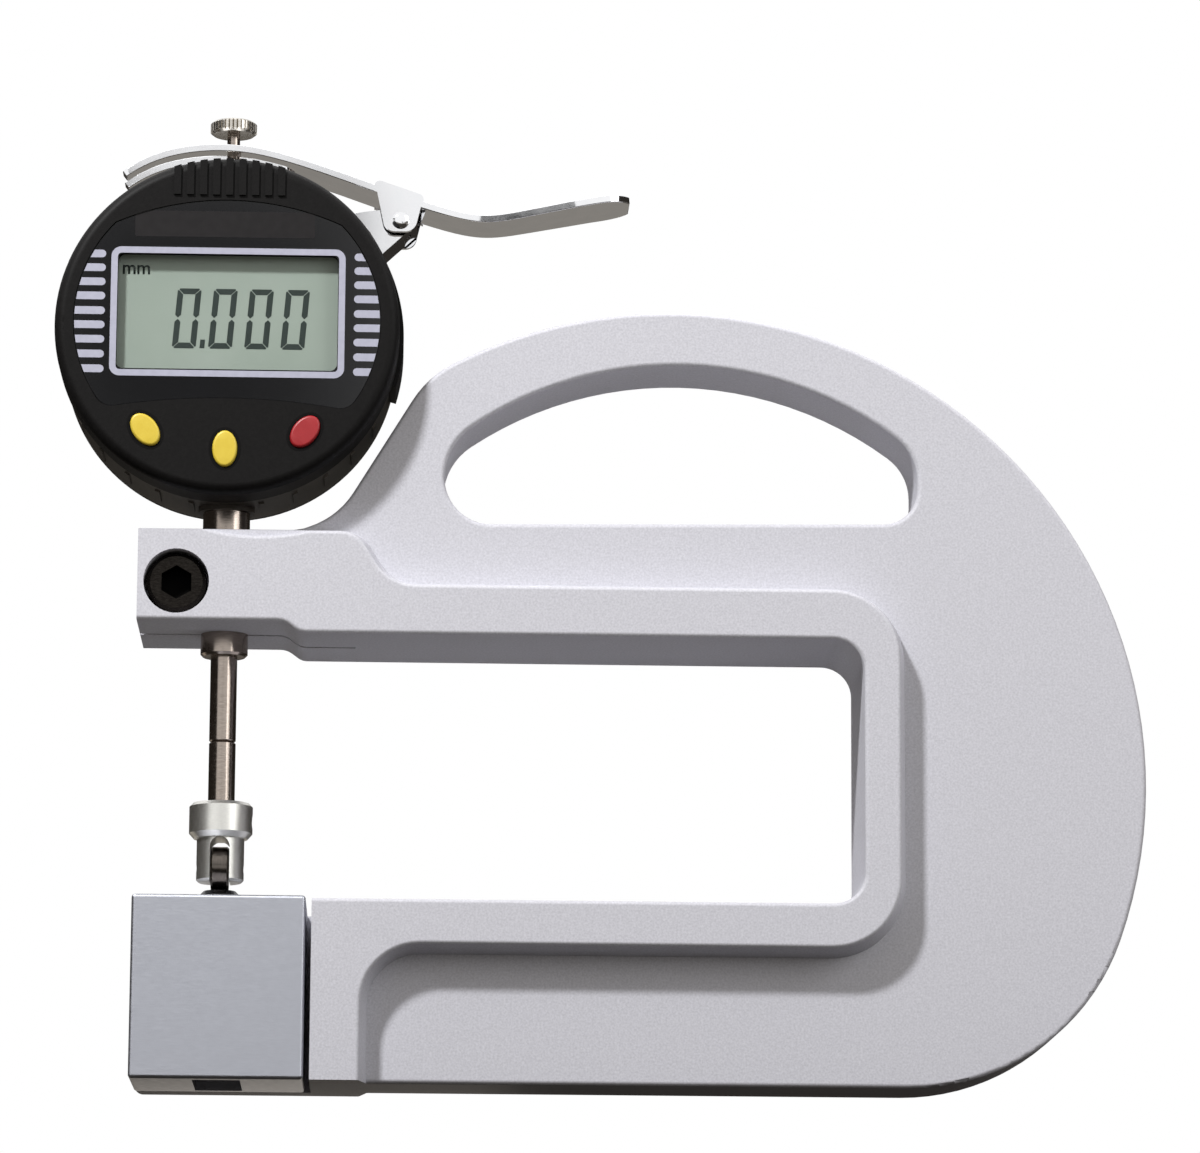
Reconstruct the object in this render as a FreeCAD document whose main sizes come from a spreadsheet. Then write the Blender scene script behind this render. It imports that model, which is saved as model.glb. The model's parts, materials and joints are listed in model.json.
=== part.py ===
"""Digital thickness gauge: a deep cast frame with a grip, a round digital indicator with a lifting
lever, and a roller contact that meets a small anvil. Millimetres, +Z up, the front faces -Y.
The origin is the middle of the frame's flat foot; the measuring axis stands at x = axis_x."""
import FreeCAD
import Part
import math
import os
import Sketcher

Vector = FreeCAD.Vector
doc = FreeCAD.newDocument("thickness_gauge")

# Driving dimensions. Heights are above the foot, and x values are from the measuring axis.
SIZES = [
    ("axis_x", -52.0, "measuring axis, from the middle of the foot"),
    ("rim_thick", 28.6, "frame: thickness of the head, rim and leg"),
    ("web_thick", 17.4, "frame: thickness of the web and grip"),
    ("rim_draft", 1.2, "frame: how far the rim's outer wall spreads towards the web"),
    ("head_left", 14.3, "frame: reach of the head to the left of the axis"),
    ("head_right", 22.2, "frame: where the head's top starts to fall to the rim"),
    ("head_slope", 5.6, "frame: run of the fall from head to rim"),
    ("head_round", 6.0, "frame: rounding where that fall starts"),
    ("head_hollow", 7.0, "frame: rounding where that fall ends"),
    ("head_rise", 9.0, "frame: head's top above the rim's top"),
    ("head_lift", 1.95, "frame: head's underside above the throat's roof"),
    ("lift_run", 2.6, "frame: run of the step under the head"),
    ("lift_start", 10.4, "frame: start of the step under the head"),
    ("lift_round", 3.5, "frame: rounding where that step starts"),
    ("lift_hollow", 2.8, "frame: rounding where that step ends"),
    ("throat_roof", 74.85, "frame: underside of the upper arm"),
    ("throat_floor", 30.2, "frame: top of the lower arm"),
    ("throat_reach", 107.8, "frame: throat's depth from the axis"),
    ("throat_corner", 5.3, "frame: radius of the throat's corners"),
    ("rim_side", 6.0, "frame: width of the rim beside the throat"),
    ("rim_over", 8.35, "frame: width of the rim above the throat"),
    ("rim_under", 7.4, "frame: width of the rim below the throat"),
    ("rim_corner", 11.5, "frame: outer corner radius of the rim"),
    ("leg_left", 15.7, "frame: end face of the lower arm"),
    ("leg_right", 23.8, "frame: right side of the leg"),
    ("leg_corner", 10.0, "frame: inner corner between leg and rim"),
    ("sweep_x", 75.8, "frame: centre of the big outer sweep"),
    ("sweep_height", 52.15, "frame: height of that centre"),
    ("sweep_radius", 80.0, "frame: radius of the big outer sweep"),
    ("heel_radius", 38.0, "frame: radius from the sweep into the foot"),
    ("flank_gap", 3.8, "frame: room between the indicator's housing and the web's flank"),
    ("flank_angle", 58.7, "frame: slope of the flank, degrees"),
    ("flank_root", 14.0, "frame: hollow radius between head and flank"),
    ("shoulder", 18.0, "frame: radius between flank and sweep"),
    ("grip_left", 37.0, "grip opening: left side"),
    ("grip_right", 117.4, "grip opening: right side"),
    ("grip_floor", 11.7, "grip opening: floor above the rim's top, at its left"),
    ("grip_tilt", 1.0, "grip opening: rise of the floor from left to right"),
    ("grip_wall", 9.35, "grip opening: bar above its top"),
    ("grip_lean", 1.2, "grip opening: its top to the right of the sweep's centre"),
    ("grip_arc", 62.0, "grip opening: radius of its top"),
    ("grip_top_left", 10.7, "grip opening: radius of the upper left corner"),
    ("grip_top_right", 9.0, "grip opening: radius of the upper right corner"),
    ("grip_low_left", 8.0, "grip opening: radius of the lower left corner"),
    ("grip_low_right", 6.0, "grip opening: radius of the lower right corner"),
    ("scoop_x", 5.9, "scoop in the head's front top edge: its middle"),
    ("scoop_radius", 33.5, "scoop in the head's front top edge: radius"),
    ("scoop_low", 0.9, "scoop in the head's front top edge: depth below the top"),
    ("scoop_in", 1.3, "scoop in the head's front top edge: depth from the front"),
    ("edge_round", 0.8, "frame: rounding of the web's edges"),
    ("rim_round", 0.7, "frame: rounding of the rim's edges"),
    ("slit_width", 1.0, "clamp slit: width"),
    ("slit_end", 22.3, "clamp slit: end to the right of the axis"),
    ("tongue_left", 14.3, "tongue behind the block: reach to the left"),
    ("tongue_drop", 0.2, "tongue behind the block: below the throat's floor"),
    ("tongue_corner", 1.6, "tongue behind the block: corner radius"),
    ("clamp_x", 7.8, "clamp screw: distance to the left of the axis"),
    ("clamp_height", 6.6, "clamp screw: height above the head's underside"),
    ("clamp_sink", 1.3, "clamp screw: head below the frame's face"),
    ("clamp_thread", 6.0, "clamp screw: thread diameter"),
    ("clamp_head", 10.0, "clamp screw: head diameter"),
    ("clamp_head_tall", 6.0, "clamp screw: head height"),
    ("clamp_key", 5.0, "clamp screw: hexagon across flats"),
    ("clamp_sleeve", 0.5, "clamp screw: room around its head"),
    ("block_half", 14.4, "anvil block: half of its width"),
    ("block_side", 0.3, "anvil block: its middle to the right of the axis"),
    ("block_over", 0.4, "anvil block: its top above the throat's floor"),
    ("block_edge", 0.6, "anvil block: rounding of its edges"),
    ("slot_width", 7.9, "anvil block: width of the slot in its underside"),
    ("slot_tall", 4.5, "anvil block: height of that slot"),
    ("slot_margin", 2.4, "anvil block: slot's distance from its front and rear"),
    ("anvil_tall", 2.3, "anvil: height above the block"),
    ("anvil_bevel", 0.8, "anvil: bevel of its rim"),
    ("anvil_width", 7.0, "anvil: diameter"),
    ("anvil_shank", 4.0, "anvil: shank diameter"),
    ("anvil_shank_long", 12.0, "anvil: length of the shank in the block"),
    ("small_thread", 3.0, "small cap screws: thread diameter"),
    ("small_head", 5.5, "small cap screws: head diameter"),
    ("small_head_tall", 3.0, "small cap screws: head height"),
    ("small_key", 2.5, "small cap screws: hexagon across flats"),
    ("block_screw_gap", 16.0, "block screws: distance between them"),
    ("fit", 0.05, "running fits: clearance on the radius"),
    ("close_fit", 0.1, "assembled pieces: clearance on the radius"),
    ("contact_gap", 0.05, "roller above the anvil at zero"),
    ("stem_width", 8.0, "stem: diameter"),
    ("stem_below", 3.85, "stem: length below the head"),
    ("stem_above", 6.2, "stem: length between head and housing"),
    ("stem_inside", 4.5, "stem: length inside the housing"),
    ("spindle_width", 4.5, "spindle and contact rod: diameter"),
    ("rod_shown", 10.6, "contact rod: length above the fork holder"),
    ("rod_stub", 3.5, "contact rod: threaded stub in the spindle"),
    ("rod_stub_width", 2.5, "contact rod: diameter of that stub"),
    ("spindle_long", 81.0, "spindle: length of its thick part"),
    ("neck_width", 2.2, "spindle: diameter of the neck at its top"),
    ("knob_lift", 8.95, "lifting knob: its underside above the housing's top"),
    ("knob_width", 8.0, "lifting knob: diameter"),
    ("knob_tall", 2.2, "lifting knob: height"),
    ("knob_teeth", 36, "lifting knob: teeth of its knurl"),
    ("stroke", 10.0, "travel of the spindle"),
    ("collar_width", 10.7, "fork holder: diameter of its collar"),
    ("collar_tall", 6.0, "fork holder: height of its collar"),
    ("collar_floor", 0.5, "fork holder: floor under the contact rod"),
    ("pin_rise", 2.3, "fork holder: the pin above its lower end"),
    ("fork_width", 8.0, "fork holder: diameter of its fork"),
    ("fork_tall", 7.4, "fork holder: height of its fork"),
    ("fork_slot", 3.3, "fork holder: width of the slot for the roller"),
    ("roller_width", 7.5, "contact roller: diameter"),
    ("roller_thick", 3.0, "contact roller: thickness"),
    ("pin_width", 1.5, "roller pin: diameter"),
    ("grub_thread", 2.5, "grub screw: diameter"),
    ("case_radius", 28.6, "indicator: radius of the rear housing"),
    ("bezel_over", 0.5, "indicator: how far the front bezel stands out past the housing"),
    ("face_front", 17.0, "indicator: its face, in front of the axis"),
    ("bezel_deep", 8.0, "indicator: depth of the front bezel"),
    ("case_back", 8.5, "indicator: rear end of the housing, behind the axis"),
    ("lid_thick", 1.5, "indicator: thickness of the back cover"),
    ("case_wall", 2.0, "indicator: wall of housing and bezel"),
    ("face_wall", 2.4, "indicator: thickness of the bezel's face"),
    ("plate_thick", 0.8, "faceplate: thickness"),
    ("plate_sink", 0.2, "faceplate: below the bezel's face"),
    ("plate_crown", 21.5, "faceplate: its top above the indicator's centre"),
    ("plate_cheek_x", 19.0, "faceplate: upper corners, from the middle"),
    ("plate_cheek", 17.4, "faceplate: upper corners, above the centre"),
    ("plate_half", 25.8, "faceplate: half of its greatest width"),
    ("plate_jaw_x", 21.6, "faceplate: lower corners, from the middle"),
    ("plate_jaw", 13.0, "faceplate: lower corners, below the centre"),
    ("plate_chin_x", 18.6, "faceplate: ends of its lower edge, from the middle"),
    ("plate_chin", 14.2, "faceplate: ends of its lower edge, below the centre"),
    ("plate_rise", 1.5, "faceplate: rise of its lower edge in the middle"),
    ("window_wide", 37.2, "display opening: width"),
    ("window_tall", 20.2, "display opening: height"),
    ("window_rise", 2.3, "display opening: centre above the indicator's centre"),
    ("window_round", 1.2, "display opening: corner radius"),
    ("glass_thick", 0.8, "display window: thickness"),
    ("lcd_thick", 1.8, "liquid crystal panel: thickness"),
    ("lcd_border", 1.2, "liquid crystal panel: margin behind the opening"),
    ("board_gap", 1.4, "circuit board: room between its rim and the housing"),
    ("board_thick", 1.2, "circuit board: thickness"),
    ("board_front", 9.5, "circuit board: its front, before the axis"),
    ("switch_wide", 4.0, "push switches on the board: width"),
    ("button_long", 6.2, "buttons: long axis"),
    ("button_short", 4.2, "buttons: short axis"),
    ("button_proud", 0.5, "buttons: height above the face"),
    ("button_gap", 0.25, "buttons: room in their holes"),
    ("button_lip", 0.6, "buttons: lip behind the face"),
    ("button_travel", 0.5, "buttons: travel"),
    ("side_button_x", 13.4, "buttons: distance of the outer two from the middle"),
    ("side_button_drop", 18.4, "buttons: outer two below the indicator's centre"),
    ("mid_button_drop", 21.5, "buttons: middle one below the indicator's centre"),
    ("side_button_turn", 52.0, "buttons: slant of the outer two, degrees"),
    ("rib_count", 9, "bezel grip: number of ribs"),
    ("rib_pitch", 2.2, "bezel grip: distance between ribs"),
    ("rib_wide", 1.2, "bezel grip: width of a rib"),
    ("rib_proud", 0.4, "bezel grip: height of a rib"),
    ("rib_foot", 22.4, "bezel grip: lower end above the indicator's centre"),
    ("stem_boss", 9.6, "housing: diameter of the boss round the stem"),
    ("stem_boss_tall", 0.6, "housing: height of that boss"),
    ("ridge_step", 12.0, "housing ridges: angle between them, degrees"),
    ("ridge_count", 11, "housing ridges: number around the lower side"),
    ("ridge_wide", 0.9, "housing ridges: width"),
    ("ridge_proud", 0.3, "housing ridges: height"),
    ("ridge_long", 8.0, "housing ridges: length"),
    ("hatch_top", 25.5, "battery cover: upper end, degrees above the level line"),
    ("hatch_bottom", 16.5, "battery cover: lower end, degrees below the level line"),
    ("hatch_proud", 1.2, "battery cover: height above the housing"),
    ("hatch_front", 8.3, "battery cover: its front edge, before the axis"),
    ("hatch_rear", 5.0, "battery cover: its rear edge, behind the axis"),
    ("cell_width", 11.6, "battery: diameter"),
    ("cell_thick", 5.4, "battery: thickness"),
    ("cell_x", 17.0, "battery: centre to the right of the axis"),
    ("cup_wall", 1.0, "battery holder: wall"),
    ("bush_width", 3.9, "top bush: diameter"),
    ("bush_flange", 6.4, "top bush: diameter of its flange"),
    ("bush_tall", 2.8, "top bush: height above the housing"),
    ("lid_screw_inset", 5.4, "cover screws: distance from the housing's rim"),
    ("lid_thread", 1.6, "cover screws: thread diameter"),
    ("lid_head", 3.0, "cover screws: head diameter"),
    ("hinge_out", 0.4, "lever hinge: to the right of the housing's side"),
    ("hinge_drop", 7.4, "lever hinge: below the housing's top"),
    ("hinge_pin", 2.0, "lever hinge: pin diameter"),
    ("hinge_head", 3.0, "lever hinge: diameter of the pin's heads"),
    ("lever_thick", 1.2, "lever: sheet thickness"),
    ("lever_wide", 11.0, "lever: width"),
    ("thumb_wide", 12.8, "lever: width of the thumb end"),
    ("lever_slot", 4.2, "lever: width of the fork's slot"),
    ("slot_stop", 10.5, "lever: closed end of the slot, right of the axis"),
    ("ear_thick", 0.9, "lever saddle: sheet thickness"),
    ("bracket_sheet", 0.8, "lever bracket: sheet thickness"),
    ("bracket_wide", 9.0, "lever bracket: outer width of its channel"),
    ("bracket_slope", 43.0, "lever bracket: slope of its channel, degrees"),
    ("bracket_drop", 1.9, "lever bracket: outer face below the hinge pin's axis"),
    ("foot_wide", 16.0, "lever bracket: width of its foot on the housing"),
    ("foot_low", 29.0, "lever bracket: lower end of its foot, degrees"),
    ("foot_high", 50.0, "lever bracket: upper end of its foot, degrees"),
    ("carrier_drop", 20.0, "scale carrier: its foot below the indicator's centre"),
    ("carrier_wide", 9.0, "scale carrier: width"),
    ("carrier_tall", 8.0, "scale carrier: height"),
    ("scale_long", 32.0, "scale: length"),
    ("scale_wide", 6.0, "scale: width"),
    ("scale_thick", 1.0, "scale: thickness"),
    ("coil_wire", 0.5, "return spring: wire diameter"),
    ("coil_radius", 3.1, "return spring: radius of its turns"),
    ("coil_turns", 12, "return spring: number of turns"),
]


class Size:
    """A size of the sheet, or a sum of such sizes: its number and the expression that gives it."""

    def __init__(self, value, text):
        self.value = value
        self.text = text

    def __float__(self):
        return self.value

    def __add__(self, other):
        return Size(self.value + float(other), f"({self.text} + {text_of(other)})")

    def __radd__(self, other):
        return Size(float(other) + self.value, f"({text_of(other)} + {self.text})")

    def __sub__(self, other):
        return Size(self.value - float(other), f"({self.text} - {text_of(other)})")

    def __rsub__(self, other):
        return Size(float(other) - self.value, f"({text_of(other)} - {self.text})")

    def __mul__(self, factor):
        return Size(self.value * factor, f"({self.text} * {factor})")

    def __truediv__(self, divisor):
        return Size(self.value / divisor, f"({self.text} / {divisor})")

    def __neg__(self):
        return Size(-self.value, f"(0 - {self.text})")


def text_of(size):
    return size.text if isinstance(size, Size) else str(size)


class Dimensions:
    """Every size of the sheet by its name."""


sheet = doc.addObject("Spreadsheet::Sheet", "dims")
for row, (alias, value, note) in enumerate(SIZES, start=1):
    sheet.set(f"A{row}", note)
    sheet.set(f"B{row}", str(value))
    sheet.setAlias(f"B{row}", alias)
doc.recompute()
d = Dimensions()
for alias, value, note in SIZES:
    setattr(d, alias, Size(float(sheet.get(alias)), f"dims.{alias}"))

pieces = []


def rad(size):
    return math.radians(float(size))


def along(direction, reach):
    """The point at a reach from the origin, in a direction given in degrees."""
    return float(reach) * math.cos(rad(direction)), float(reach) * math.sin(rad(direction))


# Shared heights, worked out from the driving dimensions.
head_under = d.throat_roof + d.head_lift
rim_top = d.throat_roof + d.rim_over
rim_bottom = d.throat_floor - d.rim_under
rim_right = d.throat_reach + d.rim_side
head_top = rim_top + d.head_rise
case_height = head_top + d.stem_above + d.case_radius
block_top = d.throat_floor + d.block_over
anvil_top = block_top + d.anvil_tall
roller_height = anvil_top + d.contact_gap + d.roller_width / 2
collar_top = roller_height - d.pin_rise + d.fork_tall + d.collar_tall
joint_height = collar_top + d.rod_shown
neck_start = joint_height + d.spindle_long
knob_height = case_height + d.case_radius + d.knob_lift
neck_long = knob_height - neck_start
hinge_x = d.case_radius + d.hinge_out
hinge_rise = d.case_radius - d.hinge_drop
hinge_height = case_height + hinge_rise
bezel_radius = d.case_radius + d.bezel_over
lid_ring = d.case_radius - d.lid_screw_inset
carrier_foot = case_height - d.carrier_drop
block_rear = d.web_thick / 2
tongue_thick = d.rim_thick / 2 - block_rear


def keep(piece, height=0.0, depth=0.0):
    """Place a piece on the measuring axis, at a height, and list it as a sub-part."""
    piece.setExpression("Placement.Base.x", "dims.axis_x")
    if isinstance(depth, Size):
        piece.setExpression("Placement.Base.y", depth.text)
    if isinstance(height, Size):
        piece.setExpression("Placement.Base.z", height.text)
    pieces.append(piece)
    return piece


def new_body(label):
    body = doc.addObject("PartDesign::Body", label)
    body.Label = label
    return body


def new_sketch(body, role, lift=None):
    """A sketch on one of the body's own origin planes, lifted off it by a size."""
    sketch = body.newObject("Sketcher::SketchObject", f"{body.Label}_sketch")
    plane = [item for item in body.Origin.OriginFeatures if item.Role == role][0]
    sketch.AttachmentSupport = (plane, [""])
    sketch.MapMode = "FlatFace"
    if lift is not None:
        sketch.setExpression("AttachmentOffset.Base.z", text_of(lift))
    return sketch


def bind(sketch, kind, where, size):
    """A sketch dimension tied to a size."""
    index = sketch.addConstraint(Sketcher.Constraint(kind, *where, float(size)))
    if isinstance(size, Size):
        sketch.setExpression(f"Constraints[{index}]", size.text)


def polygon(sketch, corners):
    """A closed outline of straight lines, with both coordinates of every corner tied to sizes."""
    points = [Vector(float(u), float(v), 0) for u, v in corners]
    first = sketch.GeometryCount
    last = first + len(points) - 1
    for start, end in zip(points, points[1:] + points[:1]):
        sketch.addGeometry(Part.LineSegment(start, end), False)
    for line in range(first, last + 1):
        after = first if line == last else line + 1
        sketch.addConstraint(Sketcher.Constraint("Coincident", line, 2, after, 1))
    for line, (u, v) in zip(range(first, last + 1), corners):
        bind(sketch, "DistanceX", (line, 1), u)
        bind(sketch, "DistanceY", (line, 1), v)


def circle(sketch, u, v, radius):
    """A full circle with its centre and radius tied to sizes."""
    centre = Vector(float(u), float(v), 0)
    index = sketch.addGeometry(Part.Circle(centre, Vector(0, 0, 1), float(radius)), False)
    bind(sketch, "DistanceX", (index, 3), u)
    bind(sketch, "DistanceY", (index, 3), v)
    bind(sketch, "Radius", (index,), radius)


def rounded_outline(corners):
    """Lines and tangent arcs through corners (u, v, radius), in order; radius 0 stays sharp."""
    points = [Vector(float(u), float(v), 0) for u, v, radius in corners]
    ends = []
    arcs = []
    for index, (u, v, radius) in enumerate(corners):
        corner = points[index]
        back = (points[index - 1] - corner).normalize()
        ahead = (points[(index + 1) % len(points)] - corner).normalize()
        if not float(radius):
            ends.append((corner, corner))
            continue
        half = back.getAngle(ahead) / 2
        cut = float(radius) / math.tan(half)
        middle = corner + (back + ahead).normalize() * (float(radius) / math.sin(half) - float(radius))
        ends.append((corner + back * cut, corner + ahead * cut))
        arcs.append(Part.Arc(ends[-1][0], middle, ends[-1][1]))
    lines = []
    for index, (start, end) in enumerate(ends):
        next_start = ends[(index + 1) % len(ends)][0]
        if (next_start - end).Length > 1e-6:
            lines.append(Part.LineSegment(end, next_start))
    return lines + arcs


def draw(sketch, shapes):
    for shape in shapes:
        sketch.addGeometry(shape, False)


def pad(body, sketch, length, middle=False, back=False, taper=None):
    """Pad a sketch: forwards, backwards, or half to each side, with a taper where given."""
    feature = body.newObject("PartDesign::Pad", f"{body.Label}_pad")
    feature.Profile = sketch
    feature.SideType = "Symmetric" if middle else "One side"
    feature.Reversed = back
    feature.setExpression("Length", text_of(length))
    if taper is not None:
        feature.TaperAngle = taper
    return feature


def pocket(body, sketch, length, middle=False, back=False):
    """Pocket a sketch, and stop if it takes nothing away."""
    doc.recompute()
    before = body.Shape.Volume
    feature = body.newObject("PartDesign::Pocket", f"{body.Label}_pocket")
    feature.Profile = sketch
    feature.SideType = "Symmetric" if middle else "One side"
    feature.Reversed = back
    feature.setExpression("Length", text_of(length))
    doc.recompute()
    if body.Shape.Volume > before - 1e-4:
        raise RuntimeError(f"{body.Label}: a pocket takes nothing away")
    return feature


def revolve(body, sketch, axis):
    feature = body.newObject("PartDesign::Revolution", f"{body.Label}_revolution")
    feature.Profile = sketch
    feature.ReferenceAxis = (sketch, [axis])
    feature.Angle = 360
    return feature


def round_edges(body, base, chosen, size, bevel=False):
    """Round or bevel the edges of a feature that a test picks."""
    doc.recompute()
    names = [f"Edge{i}" for i, edge in enumerate(base.Shape.Edges, start=1) if chosen(edge)]
    kind = "Chamfer" if bevel else "Fillet"
    feature = body.newObject(f"PartDesign::{kind}", f"{body.Label}_{kind.lower()}")
    feature.Base = (base, names)
    feature.setExpression("Size" if bevel else "Radius", text_of(size))
    return feature


def turned(label, plane, axis, profile, height=0.0, depth=0.0):
    """A turned piece: a profile (along, radius) or (radius, along), revolved round a sketch axis."""
    body = new_body(label)
    sketch = new_sketch(body, plane)
    polygon(sketch, profile)
    revolve(body, sketch, axis)
    return keep(body, height, depth)


def upright(label, profile, height):
    """A piece turned about the measuring axis: profile of (radius, height above its own foot)."""
    return turned(label, "XZ_Plane", "V_Axis", profile, height)


def parallel_to_y(edge):
    if not isinstance(edge.Curve, Part.Line):
        return False
    return abs(edge.tangentAt(edge.FirstParameter).y) > 0.999


def at_corner(edge, u, v, reach=0.05):
    """Whether an edge along Y stands at the point (u, v) of the XZ plane."""
    middle = edge.CenterOfMass
    return parallel_to_y(edge) and math.hypot(middle.x - float(u), middle.z - float(v)) < reach


def solid_feature(label, shape, height=0.0, depth=0.0):
    """A sub-part whose shape Part's own functions made from the sheet's sizes."""
    feature = doc.addObject("Part::Feature", label)
    feature.Label = label
    feature.Shape = shape
    return keep(feature, height, depth)


def prism(shapes, front, rear):
    """A solid from an outline in the XZ plane, between two depths."""
    edges = Part.__sortEdges__([shape.toShape() for shape in shapes])
    face = Part.Face(Part.Wire(edges))
    face.rotate(Vector(0, 0, 0), Vector(1, 0, 0), 90)
    face.translate(Vector(0, float(front), 0))
    return face.extrude(Vector(0, float(rear) - float(front), 0))


def bar_y(u, v, radius, front, rear):
    """A cylinder along Y."""
    return Part.makeCylinder(float(radius), float(rear) - float(front), Vector(float(u), float(front), float(v)),
                             Vector(0, 1, 0))


def make_frame():
    """The casting: a web with a grip, a raised rim round the throat, a slit head and a tongue."""
    body = new_body("frame")
    rim_root_top = head_top + d.rim_draft
    flank_way = Vector(math.cos(rad(d.flank_angle)), math.sin(rad(d.flank_angle)), 0)
    aside = Vector(flank_way.y, -flank_way.x, 0)
    beside_case = Vector(0, float(case_height), 0) + aside * float(d.case_radius + d.flank_gap)
    flank_foot = beside_case - flank_way * ((beside_case.y - float(rim_root_top)) / flank_way.y)

    # The web, from the foot round the big sweep to the head. The throat is cut out of it below.
    web = new_sketch(body, "XZ_Plane")
    throat_middle = float(d.throat_floor + d.throat_roof) / 2
    centre = Vector(float(d.sweep_x), float(d.sweep_height), 0)
    reach = (centre - beside_case).dot(aside)
    shoulder = centre - aside * reach + flank_way * math.sqrt(float(d.sweep_radius) ** 2 - reach ** 2)
    heel = Vector(float(d.sweep_x) + math.sqrt(float(d.sweep_radius) ** 2 - float(d.sweep_height) ** 2), 0, 0)
    crest = centre + Vector(*along(40, d.sweep_radius), 0)
    corners = [
        Vector(float(d.leg_left), 0, 0),
        Vector(float(d.leg_left), throat_middle, 0),
        Vector(-float(d.head_left), throat_middle, 0),
        Vector(-float(d.head_left), float(rim_root_top), 0),
        flank_foot,
        shoulder,
    ]
    lines = [Part.LineSegment(start, end) for start, end in zip(corners, corners[1:])]
    draw(web, lines + [Part.Arc(shoulder, crest, heel), Part.LineSegment(heel, corners[0])])
    solid = pad(body, web, d.web_thick, middle=True)
    for corner, radius in (
        (heel, d.heel_radius),
        (shoulder, d.shoulder),
        (flank_foot, d.flank_root),
    ):
        solid = round_edges(body, solid, lambda edge: at_corner(edge, corner.x, corner.y), radius)

    # The rim, its head and its leg stand proud on both sides, with drafted outer walls.
    far_left = -float(d.head_left) - 6.0
    far_down = -6.0
    spread = float(d.rim_draft)
    proud = (d.rim_thick - d.web_thick) / 2
    draft = math.degrees(math.atan(spread / float(proud)))
    rim = [
        (far_left, head_top + d.rim_draft, 0),
        (d.head_right + d.rim_draft * 0.6, head_top + d.rim_draft, d.head_round),
        (d.head_right + d.head_slope + d.rim_draft * 0.6, rim_top + d.rim_draft, d.head_hollow),
        (rim_right + d.rim_draft, rim_top + d.rim_draft, d.rim_corner + d.rim_draft),
        (rim_right + d.rim_draft, rim_bottom - d.rim_draft, d.rim_corner + d.rim_draft),
        (d.leg_right + d.rim_draft, rim_bottom - d.rim_draft, d.leg_corner - d.rim_draft),
        (d.leg_right + d.rim_draft, far_down, 0),
        (far_left, far_down, 0),
    ]
    for back in (False, True):
        lift = d.web_thick / 2 if not back else -d.web_thick / 2
        sketch = new_sketch(body, "XZ_Plane", lift)
        draw(sketch, rounded_outline(rim))
        pad(body, sketch, proud, back=back, taper=-draft)

    # The throat goes right through, and stays open to the left.
    throat = new_sketch(body, "XZ_Plane")
    outside = far_left - 4.0
    draw(throat, rounded_outline([
        (outside, d.throat_floor, 0),
        (d.throat_reach, d.throat_floor, d.throat_corner),
        (d.throat_reach, d.throat_roof, d.throat_corner),
        (d.lift_start + d.lift_run, d.throat_roof, d.lift_hollow),
        (d.lift_start, head_under, d.lift_round),
        (outside, head_under, 0),
    ]))
    pocket(body, throat, d.rim_thick * 2, middle=True)

    # Trim the left end: a straight head, the seat of the block, and the foot's plane.
    trims = new_sketch(body, "XZ_Plane")
    high = float(rim_root_top) + 8.0
    polygon(trims, [(outside, throat_middle), (-d.head_left, throat_middle), (-d.head_left, high), (outside, high)])
    polygon(trims, [(outside, far_down - 4.0), (heel.x, far_down - 4.0), (heel.x, 0.0), (outside, 0.0)])
    polygon(trims, [(outside, 0.5), (-d.tongue_left, 0.5), (-d.tongue_left, d.throat_floor + 2.0),
                    (outside, d.throat_floor + 2.0)])
    pocket(body, trims, d.rim_thick * 2, middle=True)
    trimmed = new_sketch(body, "XZ_Plane")
    polygon(trimmed, [(outside, -0.5), (-d.tongue_left, -0.5), (-d.tongue_left, 1.0), (outside, 1.0)])
    solid = pocket(body, trimmed, d.rim_thick * 2, middle=True)
    solid = round_edges(body, solid, lambda edge: at_corner(edge, -d.tongue_left, 0.0), d.tongue_corner)

    seat = new_sketch(body, "XZ_Plane", -block_rear)
    polygon(seat, [(outside, -1.0), (d.leg_left, -1.0), (d.leg_left, d.throat_floor + 1.0),
                   (outside, d.throat_floor + 1.0)])
    pocket(body, seat, d.rim_thick, back=True)
    drop = new_sketch(body, "XZ_Plane")
    polygon(drop, [(outside, d.throat_floor - d.tongue_drop), (d.leg_left, d.throat_floor - d.tongue_drop),
                   (d.leg_left, d.throat_floor + 1.0), (outside, d.throat_floor + 1.0)])
    pocket(body, drop, d.rim_thick * 2, middle=True)

    # The grip opening: straight floor and sides under a long arc.
    grip = new_sketch(body, "XZ_Plane")
    floor = rim_top + d.grip_floor
    arc_height = d.sweep_height + d.sweep_radius - d.grip_wall - d.grip_arc
    arc_x = d.sweep_x + d.grip_lean

    def on_arc(u):
        return float(arc_height) + math.sqrt(float(d.grip_arc) ** 2 - (float(u) - float(arc_x)) ** 2)

    left_top = Vector(float(d.grip_left), on_arc(d.grip_left), 0)
    right_top = Vector(float(d.grip_right), on_arc(d.grip_right), 0)
    left_floor = Vector(float(d.grip_left), float(floor), 0)
    right_floor = Vector(float(d.grip_right), float(floor + d.grip_tilt), 0)
    top = Vector(float(arc_x), float(arc_height + d.grip_arc), 0)
    draw(grip, [Part.LineSegment(left_floor, right_floor), Part.LineSegment(right_floor, right_top),
                Part.Arc(right_top, top, left_top), Part.LineSegment(left_top, left_floor)])
    solid = pocket(body, grip, d.rim_thick * 2, middle=True)
    for corner, radius in ((left_top, d.grip_top_left), (right_top, d.grip_top_right),
                           (left_floor, d.grip_low_left), (right_floor, d.grip_low_right)):
        solid = round_edges(body, solid, lambda edge: at_corner(edge, corner.x, corner.y), radius)

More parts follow.
